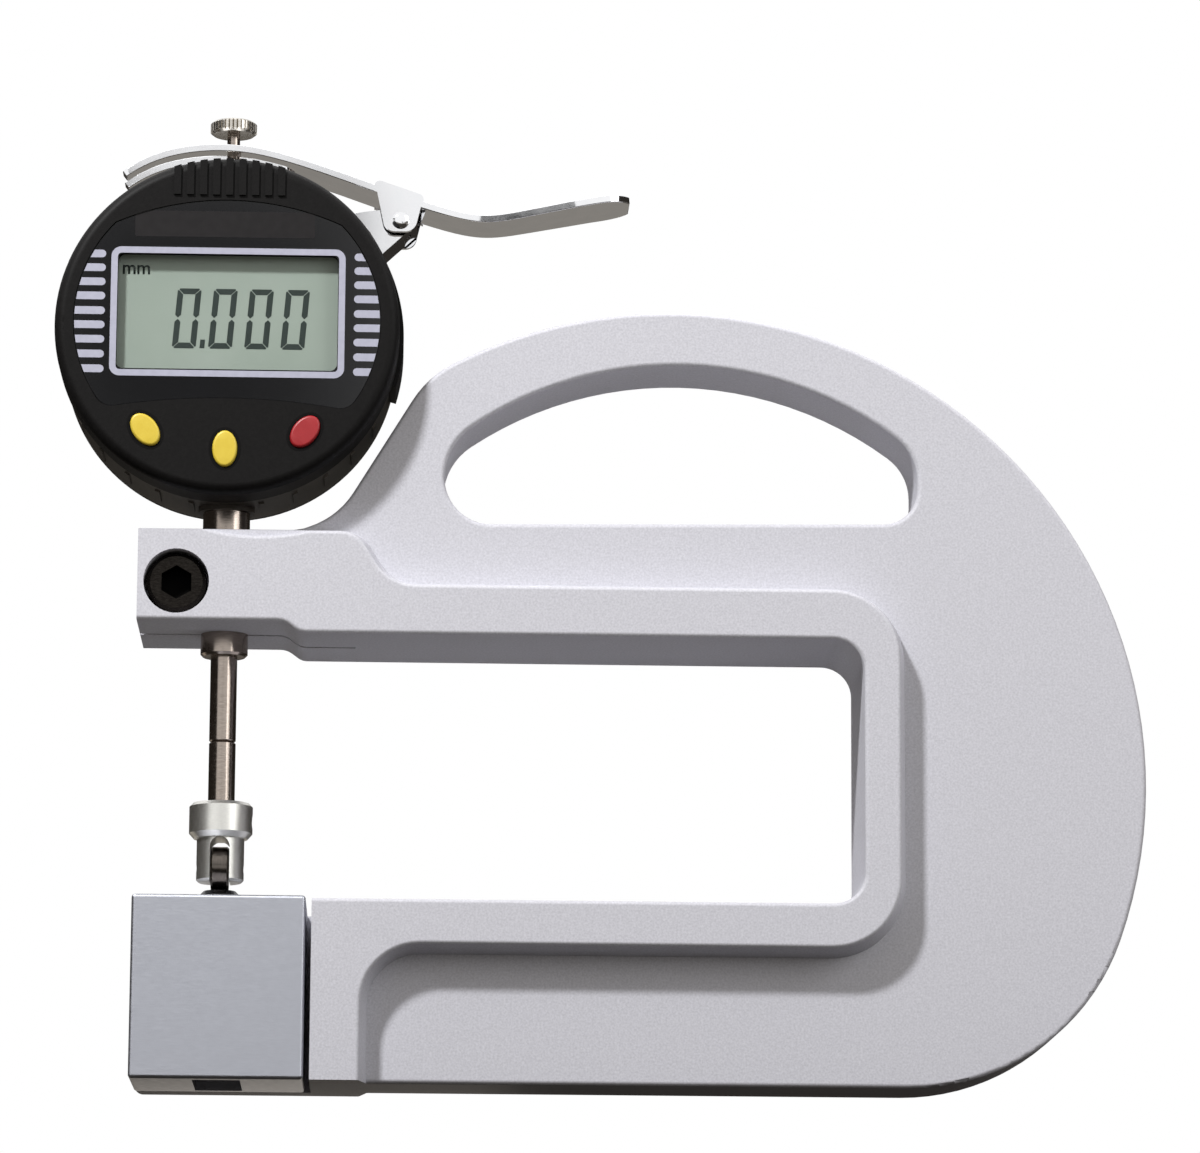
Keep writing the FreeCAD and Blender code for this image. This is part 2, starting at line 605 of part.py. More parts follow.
    # A shallow scoop takes away the head's front top edge below the indicator.
    scoop = new_sketch(body, "XZ_Plane", d.rim_thick / 2 - d.scoop_in)
    circle(scoop, d.scoop_x, head_top + d.scoop_radius - d.scoop_low, d.scoop_radius)
    pocket(body, scoop, d.scoop_in * 2, back=True)

    # The clamp: a slit through the head, the stem's bore and the screw's counterbored hole.
    slit = new_sketch(body, "XZ_Plane")
    polygon(slit, [(outside, d.throat_roof - 1.0), (d.slit_end, d.throat_roof - 1.0), (d.slit_end, high),
                   (outside, high)])
    pocket(body, slit, d.slit_width, middle=True)
    bore = new_sketch(body, "XY_Plane", head_under - 1.0)
    circle(bore, 0.0, 0.0, d.stem_width / 2 + d.fit / 2)
    pocket(body, bore, d.head_rise + 20.0, back=True)
    screw_height = head_under + d.clamp_height
    for radius, start, deep in (
        (d.clamp_thread / 2 + d.close_fit, -d.rim_thick / 2 - 1.0, d.rim_thick + 2.0),
        (d.clamp_head / 2 + d.clamp_sleeve, d.rim_thick / 2 - d.clamp_head_tall - d.clamp_sink, 20.0),
    ):
        hole = new_sketch(body, "XZ_Plane", start)
        circle(hole, -d.clamp_x, screw_height, radius)
        pocket(body, hole, deep, back=True)

    # Holes for the two block screws, from the rear of the tongue.
    for radius, deep in (
        (d.small_thread / 2 + d.close_fit, tongue_thick + 1.0),
        (d.small_head / 2 + 0.3, d.small_head_tall + 0.3),
    ):
        holes = new_sketch(body, "XZ_Plane", -d.rim_thick / 2)
        for side in (-1, 1):
            circle(holes, d.block_screw_gap * side / 2, d.throat_floor / 2, radius)
        pocket(body, holes, deep, back=True)
    solid = body.Tip
    faces = float(d.web_thick) / 2

    def on_outline(edge):
        """Whether an edge of the web's faces lies on its outer outline or round the grip."""
        points = [edge.valueAt(edge.FirstParameter + (edge.LastParameter - edge.FirstParameter) * k / 4)
                  for k in range(5)]
        if any(abs(abs(point.y) - faces) > 0.01 for point in points):
            return False
        middle = points[2]
        in_grip = (float(d.grip_left) - 0.1 < middle.x < float(d.grip_right) + 0.1
                   and float(floor) - 0.1 < middle.z < top.y + 0.1)
        outside_rim = middle.x > float(rim_right + d.rim_draft) + 0.5 or middle.z > float(rim_root_top) + 0.5
        return in_grip or (outside_rim and middle.z > 0.5)

    solid = round_edges(body, solid, on_outline, d.edge_round)

    def on_rim(edge):
        """Whether an edge borders the rim's front or rear face, away from clamp, slit and tongue."""
        points = [edge.valueAt(edge.FirstParameter + (edge.LastParameter - edge.FirstParameter) * k / 4)
                  for k in range(5)]
        if any(abs(abs(point.y) - float(d.rim_thick) / 2) > 0.01 for point in points):
            return False
        middle = points[2]
        at_tongue = middle.x < float(d.leg_left) + 0.1 and middle.z < float(d.throat_floor) + 0.1
        at_foot = middle.z < 0.1
        at_clamp = math.hypot(middle.x + float(d.clamp_x), middle.z - float(screw_height)) < float(d.clamp_head)
        return not (at_tongue or at_foot or at_clamp)

    round_edges(body, solid, on_rim, d.rim_round)
    return keep(body)


def make_clamp_screw():
    """The black socket cap screw that squeezes the slit head round the stem."""
    front = d.clamp_sink - d.rim_thick / 2
    body = new_body("clamp_screw")
    sketch = new_sketch(body, "YZ_Plane")
    under = front + d.clamp_head_tall
    polygon(sketch, [(front, 0.0), (front, d.clamp_head / 2 - 0.6), (front + 0.6, d.clamp_head / 2),
                     (under, d.clamp_head / 2), (under, d.clamp_thread / 2),
                     (d.rim_thick / 2 - 1.2, d.clamp_thread / 2), (d.rim_thick / 2 - 0.6, d.clamp_thread / 2 - 0.6),
                     (d.rim_thick / 2 - 0.6, 0.0)])
    revolve(body, sketch, "H_Axis")
    key = new_sketch(body, "XZ_Plane", -front)
    hexagon(key, 0.0, 0.0, d.clamp_key)
    pocket(body, key, d.clamp_head_tall / 2)
    body.setExpression("Placement.Base.z", (head_under + d.clamp_height).text)
    keep(body)
    body.setExpression("Placement.Base.x", (d.axis_x - d.clamp_x).text)
    return body


def hexagon(sketch, u, v, across):
    """A hexagon with its flats to the left and right."""
    corner = across / math.sqrt(3)
    half = across / 2
    polygon(sketch, [(u + half, v + corner / 2), (u, v + corner), (u - half, v + corner / 2),
                     (u - half, v - corner / 2), (u, v - corner), (u + half, v - corner / 2)])


def make_block():
    """The ground steel block that carries the anvil, with a slot in its underside."""
    body = new_body("anvil_block")
    sketch = new_sketch(body, "XZ_Plane", d.rim_thick / 2)
    left = d.block_side - d.block_half
    right = d.block_side + d.block_half
    polygon(sketch, [(left, 0.0), (right, 0.0), (right, block_top), (left, block_top)])
    solid = pad(body, sketch, d.rim_thick / 2 + block_rear, back=True)
    solid = round_edges(body, solid, lambda edge: edge.Length > 1.0, d.block_edge)
    slot = new_sketch(body, "XY_Plane")
    front = d.slot_margin - d.rim_thick / 2
    rear = block_rear - d.slot_margin
    left = d.block_side - d.slot_width / 2
    right = d.block_side + d.slot_width / 2
    polygon(slot, [(left, front), (right, front), (right, rear), (left, rear)])
    pocket(body, slot, d.slot_tall, back=True)
    shank = new_sketch(body, "XY_Plane")
    circle(shank, 0.0, 0.0, d.anvil_shank / 2 + d.fit / 2)
    pocket(body, shank, block_top + 1.0, back=True)
    holes = new_sketch(body, "XZ_Plane", -block_rear)
    for side in (-1, 1):
        circle(holes, d.block_screw_gap * side / 2, d.throat_floor / 2, d.small_thread / 2)
    pocket(body, holes, 9.0, back=True)
    return keep(body)


def cap_screw(radius, head_radius, head_tall, shank_long, key):
    """A small socket cap screw along +Y, with the underside of its head at the origin."""
    shank = Part.makeCylinder(radius, shank_long, Vector(0, 0, 0), Vector(0, 1, 0))
    head = Part.makeCylinder(head_radius, head_tall, Vector(0, -head_tall, 0), Vector(0, 1, 0))
    points = [Vector(*pair, 0) for pair in (along(60 * k + 30, key / math.sqrt(3)) for k in range(7))]
    socket = Part.Face(Part.makePolygon(points))
    socket.rotate(Vector(0, 0, 0), Vector(1, 0, 0), 90)
    socket.translate(Vector(0, -head_tall, 0))
    return shank.fuse(head).removeSplitter().cut(socket.extrude(Vector(0, head_tall / 2, 0)))


def make_block_screws():
    """Two cap screws from the rear, through the tongue into the block."""
    screws = []
    seat = float(d.rim_thick / 2 - d.small_head_tall - 0.3)
    for side in (-1, 1):
        screw = cap_screw(float(d.small_thread) / 2, float(d.small_head) / 2, float(d.small_head_tall),
                          float(tongue_thick - d.small_head_tall - 0.3) + 8.0, float(d.small_key))
        screw.rotate(Vector(0, 0, 0), Vector(0, 0, 1), 180)
        screw.translate(Vector(float(d.block_screw_gap) * side / 2, seat, float(d.throat_floor) / 2))
        screws.append(screw)
    return solid_feature("block_screws", Part.makeCompound(screws))


def make_anvil():
    """The low dark button under the roller, pressed into the block by its shank."""
    half = d.anvil_width / 2
    return upright("anvil", [
        (0.0, -d.anvil_shank_long), (d.anvil_shank / 2, -d.anvil_shank_long), (d.anvil_shank / 2, 0.0),
        (half, 0.0), (half, d.anvil_tall - d.anvil_bevel), (half - d.anvil_bevel, d.anvil_tall),
        (0.0, d.anvil_tall)], block_top)


def make_stem():
    """The stem: a polished sleeve that the head clamps and the spindle slides in."""
    outer = d.stem_width / 2
    inner = d.spindle_width / 2 + d.fit
    long = d.stem_below + head_top + d.rim_draft - head_under + d.stem_above - d.rim_draft + d.stem_inside
    return upright("stem", [
        (inner, 0.0), (outer - 0.4, 0.0), (outer, 0.4), (outer, long - 0.4), (outer - 0.4, long), (inner, long)],
        head_under - d.stem_below)


def make_spindle():
    """The spindle, with a threaded socket below and a thin neck above."""
    half = d.spindle_width / 2
    neck = d.neck_width / 2
    socket = d.rod_stub_width / 2 + d.fit
    return upright("spindle", [
        (socket, 0.0), (half - 0.2, 0.0), (half, 0.2), (half, d.spindle_long), (neck, d.spindle_long),
        (neck, d.spindle_long + neck_long), (0.0, d.spindle_long + neck_long), (0.0, d.rod_stub + 0.4),
        (socket, d.rod_stub + 0.4)], joint_height)


def make_knob():
    """The lifting knob: a thin knurled disc screwed on the neck, its teeth cut one by one."""
    body = new_body("lifting_knob")
    sketch = new_sketch(body, "XZ_Plane")
    half = d.knob_width / 2
    polygon(sketch, [(0.0, 0.0), (half - 0.5, 0.0), (half, 0.4), (half, d.knob_tall - 0.4),
                     (half - 0.5, d.knob_tall), (0.0, d.knob_tall)])
    revolve(body, sketch, "V_Axis")
    notch = new_sketch(body, "XY_Plane")
    wide = math.pi * float(d.knob_width) / float(d.knob_teeth) * 0.36
    polygon(notch, [(half + 0.3, -wide), (half - 0.35, 0.0), (half + 0.3, wide)])
    cut = pocket(body, notch, d.knob_tall + 1.0, back=True)
    ring = body.newObject("PartDesign::PolarPattern", "knob_knurl")
    ring.Originals = [cut]
    ring.Axis = (sketch, ["V_Axis"])
    ring.Angle = 360
    ring.setExpression("Occurrences", "dims.knob_teeth")
    body.Tip = ring
    return keep(body, knob_height)


def make_rod():
    """The contact rod, screwed into the spindle and held in the fork holder's collar."""
    half = d.spindle_width / 2
    stub = d.rod_stub_width / 2
    long = d.rod_shown + d.collar_tall - d.collar_floor - d.close_fit
    return upright("contact_rod", [
        (0.0, -long), (half, -long), (half, -0.3), (half - 0.3, 0.0), (stub, 0.0), (stub, d.rod_stub),
        (0.0, d.rod_stub)], joint_height - 0.05)


def make_fork_holder():
    """The aluminium holder: a collar on the rod and a fork round the roller."""
    body = new_body("fork_holder")
    sketch = new_sketch(body, "XZ_Plane")
    fork = d.fork_width / 2
    collar = d.collar_width / 2
    top = d.fork_tall + d.collar_tall
    hole = d.spindle_width / 2 + d.fit / 2
    floor = d.fork_tall + d.collar_floor
    polygon(sketch, [(0.0, 0.0), (fork - 0.4, 0.0), (fork, 0.4), (fork, d.fork_tall), (collar - 0.8, d.fork_tall),
                     (collar, d.fork_tall + 0.9), (collar, top - 0.6), (collar - 0.6, top), (hole, top),
                     (hole, floor), (0.0, floor)])
    revolve(body, sketch, "V_Axis")
    slot = new_sketch(body, "XZ_Plane")
    half = d.fork_slot / 2
    low = -1.0
    crown = float(d.fork_tall) - float(half)
    draw(slot, [
        Part.LineSegment(Vector(-float(half), low, 0), Vector(float(half), low, 0)),
        Part.LineSegment(Vector(float(half), low, 0), Vector(float(half), crown, 0)),
        Part.Arc(Vector(float(half), crown, 0), Vector(0, crown + float(half), 0), Vector(-float(half), crown, 0)),
        Part.LineSegment(Vector(-float(half), crown, 0), Vector(-float(half), low, 0)),
    ])
    pocket(body, slot, d.fork_width + 4.0, middle=True)
    cross = new_sketch(body, "YZ_Plane", -d.fork_width)
    circle(cross, 0.0, d.pin_rise, d.pin_width / 2 + d.fit / 2)
    pocket(body, cross, d.fork_width * 2, back=True)
    grub = new_sketch(body, "YZ_Plane", d.spindle_width / 2)
    circle(grub, 0.0, d.fork_tall + d.collar_tall / 2, d.grub_thread / 2)
    pocket(body, grub, d.collar_width, back=True)
    return keep(body, roller_height - d.pin_rise)


def make_grub_screw():
    """The grub screw that holds the rod in the collar, from the right."""
    body = new_body("grub_screw")
    start = d.spindle_width / 2 + d.fit
    end = d.collar_width / 2 - 0.4
    sketch = new_sketch(body, "XZ_Plane")
    polygon(sketch, [(start, 0.0), (start, d.grub_thread / 2 - d.fit), (end, d.grub_thread / 2 - d.fit), (end, 0.0)])
    revolve(body, sketch, "H_Axis")
    key = new_sketch(body, "YZ_Plane", end)
    hexagon(key, 0.0, 0.0, d.grub_thread / 2)
    pocket(body, key, 1.0)
    return keep(body, collar_top - d.collar_tall / 2)


def make_roller():
    """The hardened roller that touches the work."""
    half = d.roller_thick / 2
    outer = d.roller_width / 2
    inner = d.pin_width / 2 + d.fit
    return turned("contact_roller", "XZ_Plane", "H_Axis", [
        (-half, inner), (-half, outer - 0.3), (0.3 - half, outer), (half - 0.3, outer), (half, outer - 0.3),
        (half, inner)], roller_height)


def make_pin():
    """The roller's axle, flush with the fork's sides."""
    half = d.fork_width / 2 - 0.1
    radius = d.pin_width / 2
    return turned("roller_pin", "XZ_Plane", "H_Axis", [
        (-half, 0.0), (-half, radius), (half, radius), (half, 0.0)], roller_height)


# The indicator's buttons: place from its centre, and slant of the long axis in degrees.
BUTTONS = [
    ("left_button", -d.side_button_x, -d.side_button_drop, -d.side_button_turn),
    ("middle_button", Size(0.0, "0"), -d.mid_button_drop, Size(90.0, "90")),
    ("right_button", d.side_button_x, -d.side_button_drop, d.side_button_turn),
]
plate_front = d.plate_sink - d.face_front
plate_back = plate_front + d.plate_thick


def oval_prism(u, v, turn, grow, front, rear):
    """An oval of a button's size, grown all round, as a solid between two depths."""
    oval = Part.Ellipse(Vector(0, 0, 0), float(d.button_long) / 2 + float(grow), float(d.button_short) / 2 + float(grow))
    face = Part.Face(Part.Wire([oval.toShape()]))
    face.rotate(Vector(0, 0, 0), Vector(0, 0, 1), float(turn))
    face.translate(Vector(float(u), float(v), 0))
    face.rotate(Vector(0, 0, 0), Vector(1, 0, 0), 90)
    face.translate(Vector(0, float(front), 0))
    return face.extrude(Vector(0, float(rear) - float(front), 0))


def plate_outline(grow=0.0):
    """The faceplate's outline: flat arcs above and below, and sides that follow the bezel."""
    crown = Vector(0, float(d.plate_crown) + grow, 0)
    chin = Vector(0, grow * -1 - float(d.plate_chin - d.plate_rise), 0)
    sides = []
    for side in (-1, 1):
        cheek = Vector(side * (float(d.plate_cheek_x) + grow), float(d.plate_cheek) + grow, 0)
        widest = Vector(side * (float(d.plate_half) + grow), -0.5, 0)
        jaw = Vector(side * (float(d.plate_jaw_x) + grow), -float(d.plate_jaw) - grow, 0)
        end = Vector(side * float(d.plate_chin_x), -float(d.plate_chin) - grow, 0)
        turn = (jaw + end) / 2 + Vector(side * 0.3, -0.4, 0)
        sides.append((cheek, widest, jaw, turn, end))
    left, right = sides
    return [
        Part.Arc(left[0], crown, right[0]),
        Part.Arc(right[0], right[1], right[2]),
        Part.Arc(right[2], right[3], right[4]),
        Part.Arc(right[4], chin, left[4]),
        Part.Arc(left[4], left[3], left[2]),
        Part.Arc(left[2], left[1], left[0]),
    ]


def window_outline(grow=0.0):
    """The display opening, grown all round."""
    half_wide = float(d.window_wide) / 2 + grow
    half_tall = float(d.window_tall) / 2 + grow
    middle = float(d.window_rise)
    radius = float(d.window_round)
    return rounded_outline([(-half_wide, middle - half_tall, radius), (half_wide, middle - half_tall, radius),
                            (half_wide, middle + half_tall, radius), (-half_wide, middle + half_tall, radius)])


def make_bezel():
    """The front shell: a round cup with the faceplate's recess, button holes and a ribbed grip."""
    front = -float(d.face_front)
    rear = front + float(d.bezel_deep)
    outer = float(bezel_radius)
    shell = bar_y(0, 0, outer, front, rear)
    rim = [edge for edge in shell.Edges if edge.CenterOfMass.y < front + 0.1 and edge.Length > 10]
    shell = shell.makeFillet(1.8, rim)
    shell = shell.cut(bar_y(0, 0, outer - float(d.case_wall) - 0.5, front + float(d.face_wall), rear + 1))
    shell = shell.cut(prism(plate_outline(0.1), front - 1, plate_back))
    shell = shell.cut(prism(window_outline(), front - 1, rear))
    for name, u, v, turn in BUTTONS:
        shell = shell.cut(oval_prism(u, v, turn, d.button_gap, front - 1, rear))
    for index in range(int(float(d.rib_count))):
        middle = (index - (float(d.rib_count) - 1) / 2) * float(d.rib_pitch)
        rib = Part.makeBox(float(d.rib_wide), 3.0, 10.0,
                           Vector(middle - float(d.rib_wide) / 2, front - float(d.rib_proud), float(d.rib_foot)))
        shell = shell.fuse(rib.common(bar_y(0, 0, outer - 0.3, front - 1, rear)))
    return solid_feature("front_bezel", shell.removeSplitter(), case_height)


def ring_sector(inner, outer, low, high, front, rear):
    """A piece of a ring about the indicator's axis, between two angles in degrees and two depths."""
    middle = (float(low) + float(high)) / 2
    corners = [Vector(*along(low, inner), 0), Vector(*along(low, outer), 0), Vector(*along(high, outer), 0),
               Vector(*along(high, inner), 0)]
    shapes = [
        Part.LineSegment(corners[0], corners[1]),
        Part.Arc(corners[1], Vector(*along(middle, outer), 0), corners[2]),
        Part.LineSegment(corners[2], corners[3]),
        Part.Arc(corners[3], Vector(*along(middle, inner), 0), corners[0]),
    ]
    return prism(shapes, front, rear)


def make_housing():
    """The rear housing: a deep ring with bores for stem and bush, a side port and low ridges."""
    front = float(d.bezel_deep - d.face_front)
    rear = float(d.case_back)
    outer = float(d.case_radius)
    inner = outer - float(d.case_wall)
    ring = bar_y(0, 0, outer, front, rear)
    middle_y = (front + rear) / 2
    first = 270 - float(d.ridge_step) * (int(float(d.ridge_count)) - 1) / 2
    half = math.degrees(float(d.ridge_wide) / 2 / outer)
    for index in range(int(float(d.ridge_count))):
        turn = first + index * float(d.ridge_step)
        ring = ring.fuse(ring_sector(outer - 0.5, outer + float(d.ridge_proud), turn - half, turn + half,
                                     middle_y - float(d.ridge_long) / 2, middle_y + float(d.ridge_long) / 2))
    ring = ring.cut(bar_y(0, 0, inner, front - 1, rear + 1))
    bosses = []
    for turn in (45, 135, 225, 315):
        u, v = along(turn, lid_ring)
        boss = bar_y(u, v, 2.4, 0.0, rear).fuse(
            ring_sector(float(lid_ring), inner + 0.2, turn - 4, turn + 4, 0.0, rear))
        bosses.append(boss.cut(bar_y(u, v, float(d.lid_thread) / 2, -1, rear + 1)))
    ring = ring.fuse(bosses)
    down = Vector(0, 0, -1)
    boss = Part.makeCylinder(float(d.stem_boss) / 2, 3.0 + float(d.stem_boss_tall),
                             Vector(0, 0, 3.0 - outer), down)
    ring = ring.fuse(boss.cut(bar_y(0, 0, inner, front, rear)))
    ring = ring.cut(Part.makeCylinder(float(d.stem_width / 2 + d.fit / 2), outer + 2, Vector(0, 0, 0), down))
    ring = ring.cut(Part.makeCylinder(float(d.bush_width) / 2, outer + 2, Vector(0, 0, 0), Vector(0, 0, 1)))
    port = ring_sector(inner - 2, outer + 2, -float(d.hatch_bottom) + 4, float(d.hatch_top) - 4,
                       -float(d.hatch_front) + 3, float(d.hatch_rear) - 2)
    ring = ring.cut(port)
    ring = ring.cut([bracket_screw(side, 0.8, 6.0, False) for side in (-1, 1)])
    return solid_feature("rear_housing", ring.removeSplitter(), case_height)


def make_back_cover():
    """The flat back cover with four countersunk holes."""
    front = float(d.case_back)
    rear = float(d.case_back + d.lid_thick)
    lid = bar_y(0, 0, float(d.case_radius), front, rear)
    edge = [item for item in lid.Edges if item.CenterOfMass.y > rear - 0.1 and item.Length > 10]
    lid = lid.makeFillet(0.6, edge)
    for turn in (45, 135, 225, 315):
        u, v = along(turn, lid_ring)
        lid = lid.cut(bar_y(u, v, float(d.lid_thread) / 2 + float(d.close_fit), front - 1, rear + 1))
        lid = lid.cut(bar_y(u, v, float(d.lid_head) / 2 + float(d.close_fit), rear - 1.0, rear + 1))
    return solid_feature("back_cover", lid, case_height)


def make_cover_screws():
    """Four small screws in the back cover."""
    screws = []
    rear = float(d.case_back + d.lid_thick)
    for turn in (45, 135, 225, 315):
        u, v = along(turn, lid_ring)
        head = bar_y(u, v, float(d.lid_head) / 2, rear - 1.0, rear - 0.1)
        shank = bar_y(u, v, float(d.lid_thread) / 2 - 0.02, 2.0, rear - 1.0)
        slot = Part.makeBox(float(d.lid_head) + 1, 0.8, 0.5, Vector(u - float(d.lid_head) / 2 - 0.5, rear - 0.5, v - 0.25))
        screws.append(head.fuse(shank).removeSplitter().cut(slot))
    return solid_feature("cover_screws", Part.makeCompound(screws), case_height)


def make_faceplate():
    """The glossy faceplate inlaid in the bezel, with the display's opening."""
    plate = prism(plate_outline(), plate_front, plate_back)
    plate = plate.cut(prism(window_outline(), plate_front - 1, plate_back + 1))
    return solid_feature("faceplate", plate, case_height)


def make_display():
    """The clear window in the faceplate and the liquid crystal panel behind the bezel's face."""
    pane = prism(window_outline(-0.02), plate_front + 0.02, plate_front + d.glass_thick)
    solid_feature("display_window", pane, case_height)
    start = d.face_wall - d.face_front
    panel = prism(window_outline(float(d.lcd_border)), start, start + d.lcd_thick)
    return solid_feature("lcd_panel", panel, case_height)


def make_buttons():
    """Three oval push buttons, each with a lip that holds it behind the face."""
    top = -d.face_front - d.button_proud
    lip_front = d.face_wall - d.face_front + 0.05
    lip_rear = lip_front + 0.8
    for name, u, v, turn in BUTTONS:
        cap = oval_prism(u, v, turn, 0, top, lip_rear)
        edge = [item for item in cap.Edges if item.CenterOfMass.y < float(top) + 0.05]
        cap = cap.makeFillet(0.45, edge)
        solid_feature(name, cap.fuse(oval_prism(u, v, turn, d.button_lip, lip_front, lip_rear)).removeSplitter(),
                      case_height)


def make_board():
    """The circuit board, cut away for the stem, with three push switches and the panel's spacer."""
    front = -float(d.board_front)
    rear = front + float(d.board_thick)
    board = bar_y(0, 0, d.case_radius - d.case_wall - d.board_gap, front, rear)
    lip_rear = float(d.face_wall - d.face_front) + 0.05 + 0.8 + float(d.button_travel)
    half = float(d.switch_wide) / 2
    for name, u, v, turn in BUTTONS:
        board = board.fuse(Part.makeBox(half * 2, front - lip_rear - 0.1, half * 2,
                                        Vector(float(u) - half, lip_rear + 0.1, float(v) - half)))
    panel_rear = float(d.face_wall - d.face_front + d.lcd_thick)
    spacer = Part.makeBox(float(d.window_wide) - 4, front - panel_rear, float(d.window_tall) - 6,
                          Vector(-float(d.window_wide) / 2 + 2, panel_rear, float(d.window_rise - d.window_tall / 2) + 3))
    return solid_feature("circuit_board", board.fuse(spacer).removeSplitter(), case_height)


def make_battery():
    """The button cell in its cup on the board, and the curved side cover that closes its port."""
    front = -0.5
    cell = bar_y(d.cell_x, 0, float(d.cell_width) / 2, front, front + float(d.cell_thick))
    edges = [edge for edge in cell.Edges if edge.Length > 10]
    solid_feature("battery", cell.makeFillet(0.4, edges), case_height)
    reach = float(d.cell_width) / 2 + 0.05
    cup = bar_y(d.cell_x, 0, reach + float(d.cup_wall), float(d.board_thick - d.board_front), front + 2.5)
    solid_feature("battery_holder", cup.cut(bar_y(d.cell_x, 0, reach, front, front + 3)), case_height)
    outer = float(d.case_radius)
    cover = ring_sector(outer + 0.02, outer + float(d.hatch_proud), -float(d.hatch_bottom), d.hatch_top,
                        -d.hatch_front, d.hatch_rear)
    plug = ring_sector(outer - float(d.case_wall), outer + 0.3, -float(d.hatch_bottom) + 4.3,
                       float(d.hatch_top) - 4.3, -float(d.hatch_front) + 3.2, float(d.hatch_rear) - 2.2)
    return solid_feature("battery_cover", cover.fuse(plug).removeSplitter(), case_height)


def make_bush():
    """The rounded bush that guides the neck out of the housing's top."""
    outer = d.bush_width / 2
    inner = d.neck_width / 2 + d.fit
    flange = d.bush_flange / 2
    return upright("top_bush", [
        (inner, -d.case_wall - 0.6), (outer - 0.05, -d.case_wall - 0.6), (outer - 0.05, 0.15), (flange, 0.15),
        (flange, 1.2), (flange - 0.5, 1.6), (outer, 1.6), (outer, d.bush_tall - 1.4),
        (outer - 0.35, d.bush_tall - 0.5), (inner + 0.3, d.bush_tall), (inner, d.bush_tall)],
        case_height + d.case_radius)


def make_carrier():
    """The carrier clamped on the spindle, and the measuring scale on its front."""
    body = new_body("scale_carrier")
    sketch = new_sketch(body, "XY_Plane")
    half = d.carrier_wide / 2
    back = d.spindle_width / 2 + 2.0
    polygon(sketch, [(-half, -d.spindle_width), (half, -d.spindle_width), (half, back), (-half, back)])
    pad(body, sketch, d.carrier_tall)
    bore = new_sketch(body, "XY_Plane")
    circle(bore, 0.0, 0.0, d.spindle_width / 2 + 0.01)
    pocket(body, bore, d.carrier_tall + 1.0, back=True)
    keep(body, carrier_foot)
    scale = doc.addObject("Part::Box", "measuring_scale")
    scale.Label = "measuring_scale"
    scale.setExpression("Length", d.scale_wide.text)
    scale.setExpression("Width", d.scale_thick.text)
    scale.setExpression("Height", d.scale_long.text)
    keep(scale, carrier_foot, -d.spindle_width - d.scale_thick)
    scale.setExpression("Placement.Base.x", (d.axis_x - d.scale_wide / 2).text)


def make_return_spring():
    """The spring round the spindle, from the carrier's top to the housing's wall."""
    low = float(carrier_foot + d.carrier_tall + d.coil_wire / 2)
    high = float(case_height) + float(d.case_radius - d.case_wall) - 0.3 - float(d.coil_wire) / 2
    tall = high - low
    pitch = tall / float(d.coil_turns)
    helix = Part.makeHelix(pitch, tall, float(d.coil_radius))
    wire = Part.Wire(helix.Edges)
    section = Part.Wire([Part.Circle(Vector(float(d.coil_radius), 0, 0), Vector(0, 1, 0),
                                     float(d.coil_wire) / 2).toShape()])
    coil = wire.makePipeShell([section], True, True)
    coil.translate(Vector(0, 0, low))
    return solid_feature("return_spring", coil)


# The lever's lower line, as offsets from the hinge: fork arc, straight middle and thumb curve.
LEVER_LINE = [(-47.0, 7.3), (-41.6, 10.3), (-35.5, 11.8), (-27.1, 11.9), (-17.5, 9.7), (-4.5, 5.3), (7.8, 1.3),
              (14.4, 0.2), (20.9, 1.0), (30.8, 3.0), (39.4, 4.3)]


def lever_curves():
    """The lever's lower and upper lines in the XZ plane, a sheet's thickness apart."""
    points = [Vector(float(hinge_x) + u, v, 0) for u, v in LEVER_LINE]
    lower = Part.BSplineCurve()
    lower.interpolate(points)
    upper_points = []
    for point in points:
        tangent = lower.tangent(lower.parameter(point))[0]
        upper_points.append(point + Vector(-tangent.y, tangent.x, 0) * float(d.lever_thick))
    upper = Part.BSplineCurve()
    upper.interpolate(upper_points)
    return lower, upper


def lever_sheet(half_wide):
    """The bent strip of the lever, as wide as asked."""
    lower, upper = lever_curves()
    start = [lower.StartPoint, upper.StartPoint]
    end = [lower.EndPoint, upper.EndPoint]
    shapes = [lower, Part.LineSegment(end[0], end[1]), upper, Part.LineSegment(start[1], start[0])]
    return prism(shapes, -half_wide, half_wide)


def plan_prism(corners):
    """A tall solid from an outline in plan, made of corners (x, y, radius)."""
    edges = Part.__sortEdges__([shape.toShape() for shape in rounded_outline(corners)])
    face = Part.Face(Part.Wire(edges))
    face.translate(Vector(0, 0, -40))
    return face.extrude(Vector(0, 0, 80))


def make_lever():
    """The lifting lever: a bent chromed strip, forked round the neck at its left end."""
    half = float(d.lever_wide) / 2
    thumb = float(d.thumb_wide) / 2
    left = float(hinge_x) + LEVER_LINE[0][0] - 1.5
    right = float(hinge_x) + LEVER_LINE[-1][0] + 0.6
    outline = plan_prism([
        (left, -half, 1.6), (right - 26, -half, 30.0), (right - 10, -thumb, 30.0), (right, -thumb, 5.5),
        (right, thumb, 5.5), (right - 10, thumb, 30.0), (right - 26, half, 30.0), (left, half, 1.6)])
    slot_half = float(d.lever_slot) / 2
    slot = plan_prism([(left - 5, -slot_half, 0), (float(d.slot_stop), -slot_half, slot_half - 0.05),
                       (float(d.slot_stop), slot_half, slot_half - 0.05), (left - 5, slot_half, 0)])
    sheet_metal = lever_sheet(thumb + 2)
    sheet_metal = sheet_metal.common(outline).cut(slot)
    return solid_feature("lever", sheet_metal.removeSplitter(), hinge_height)


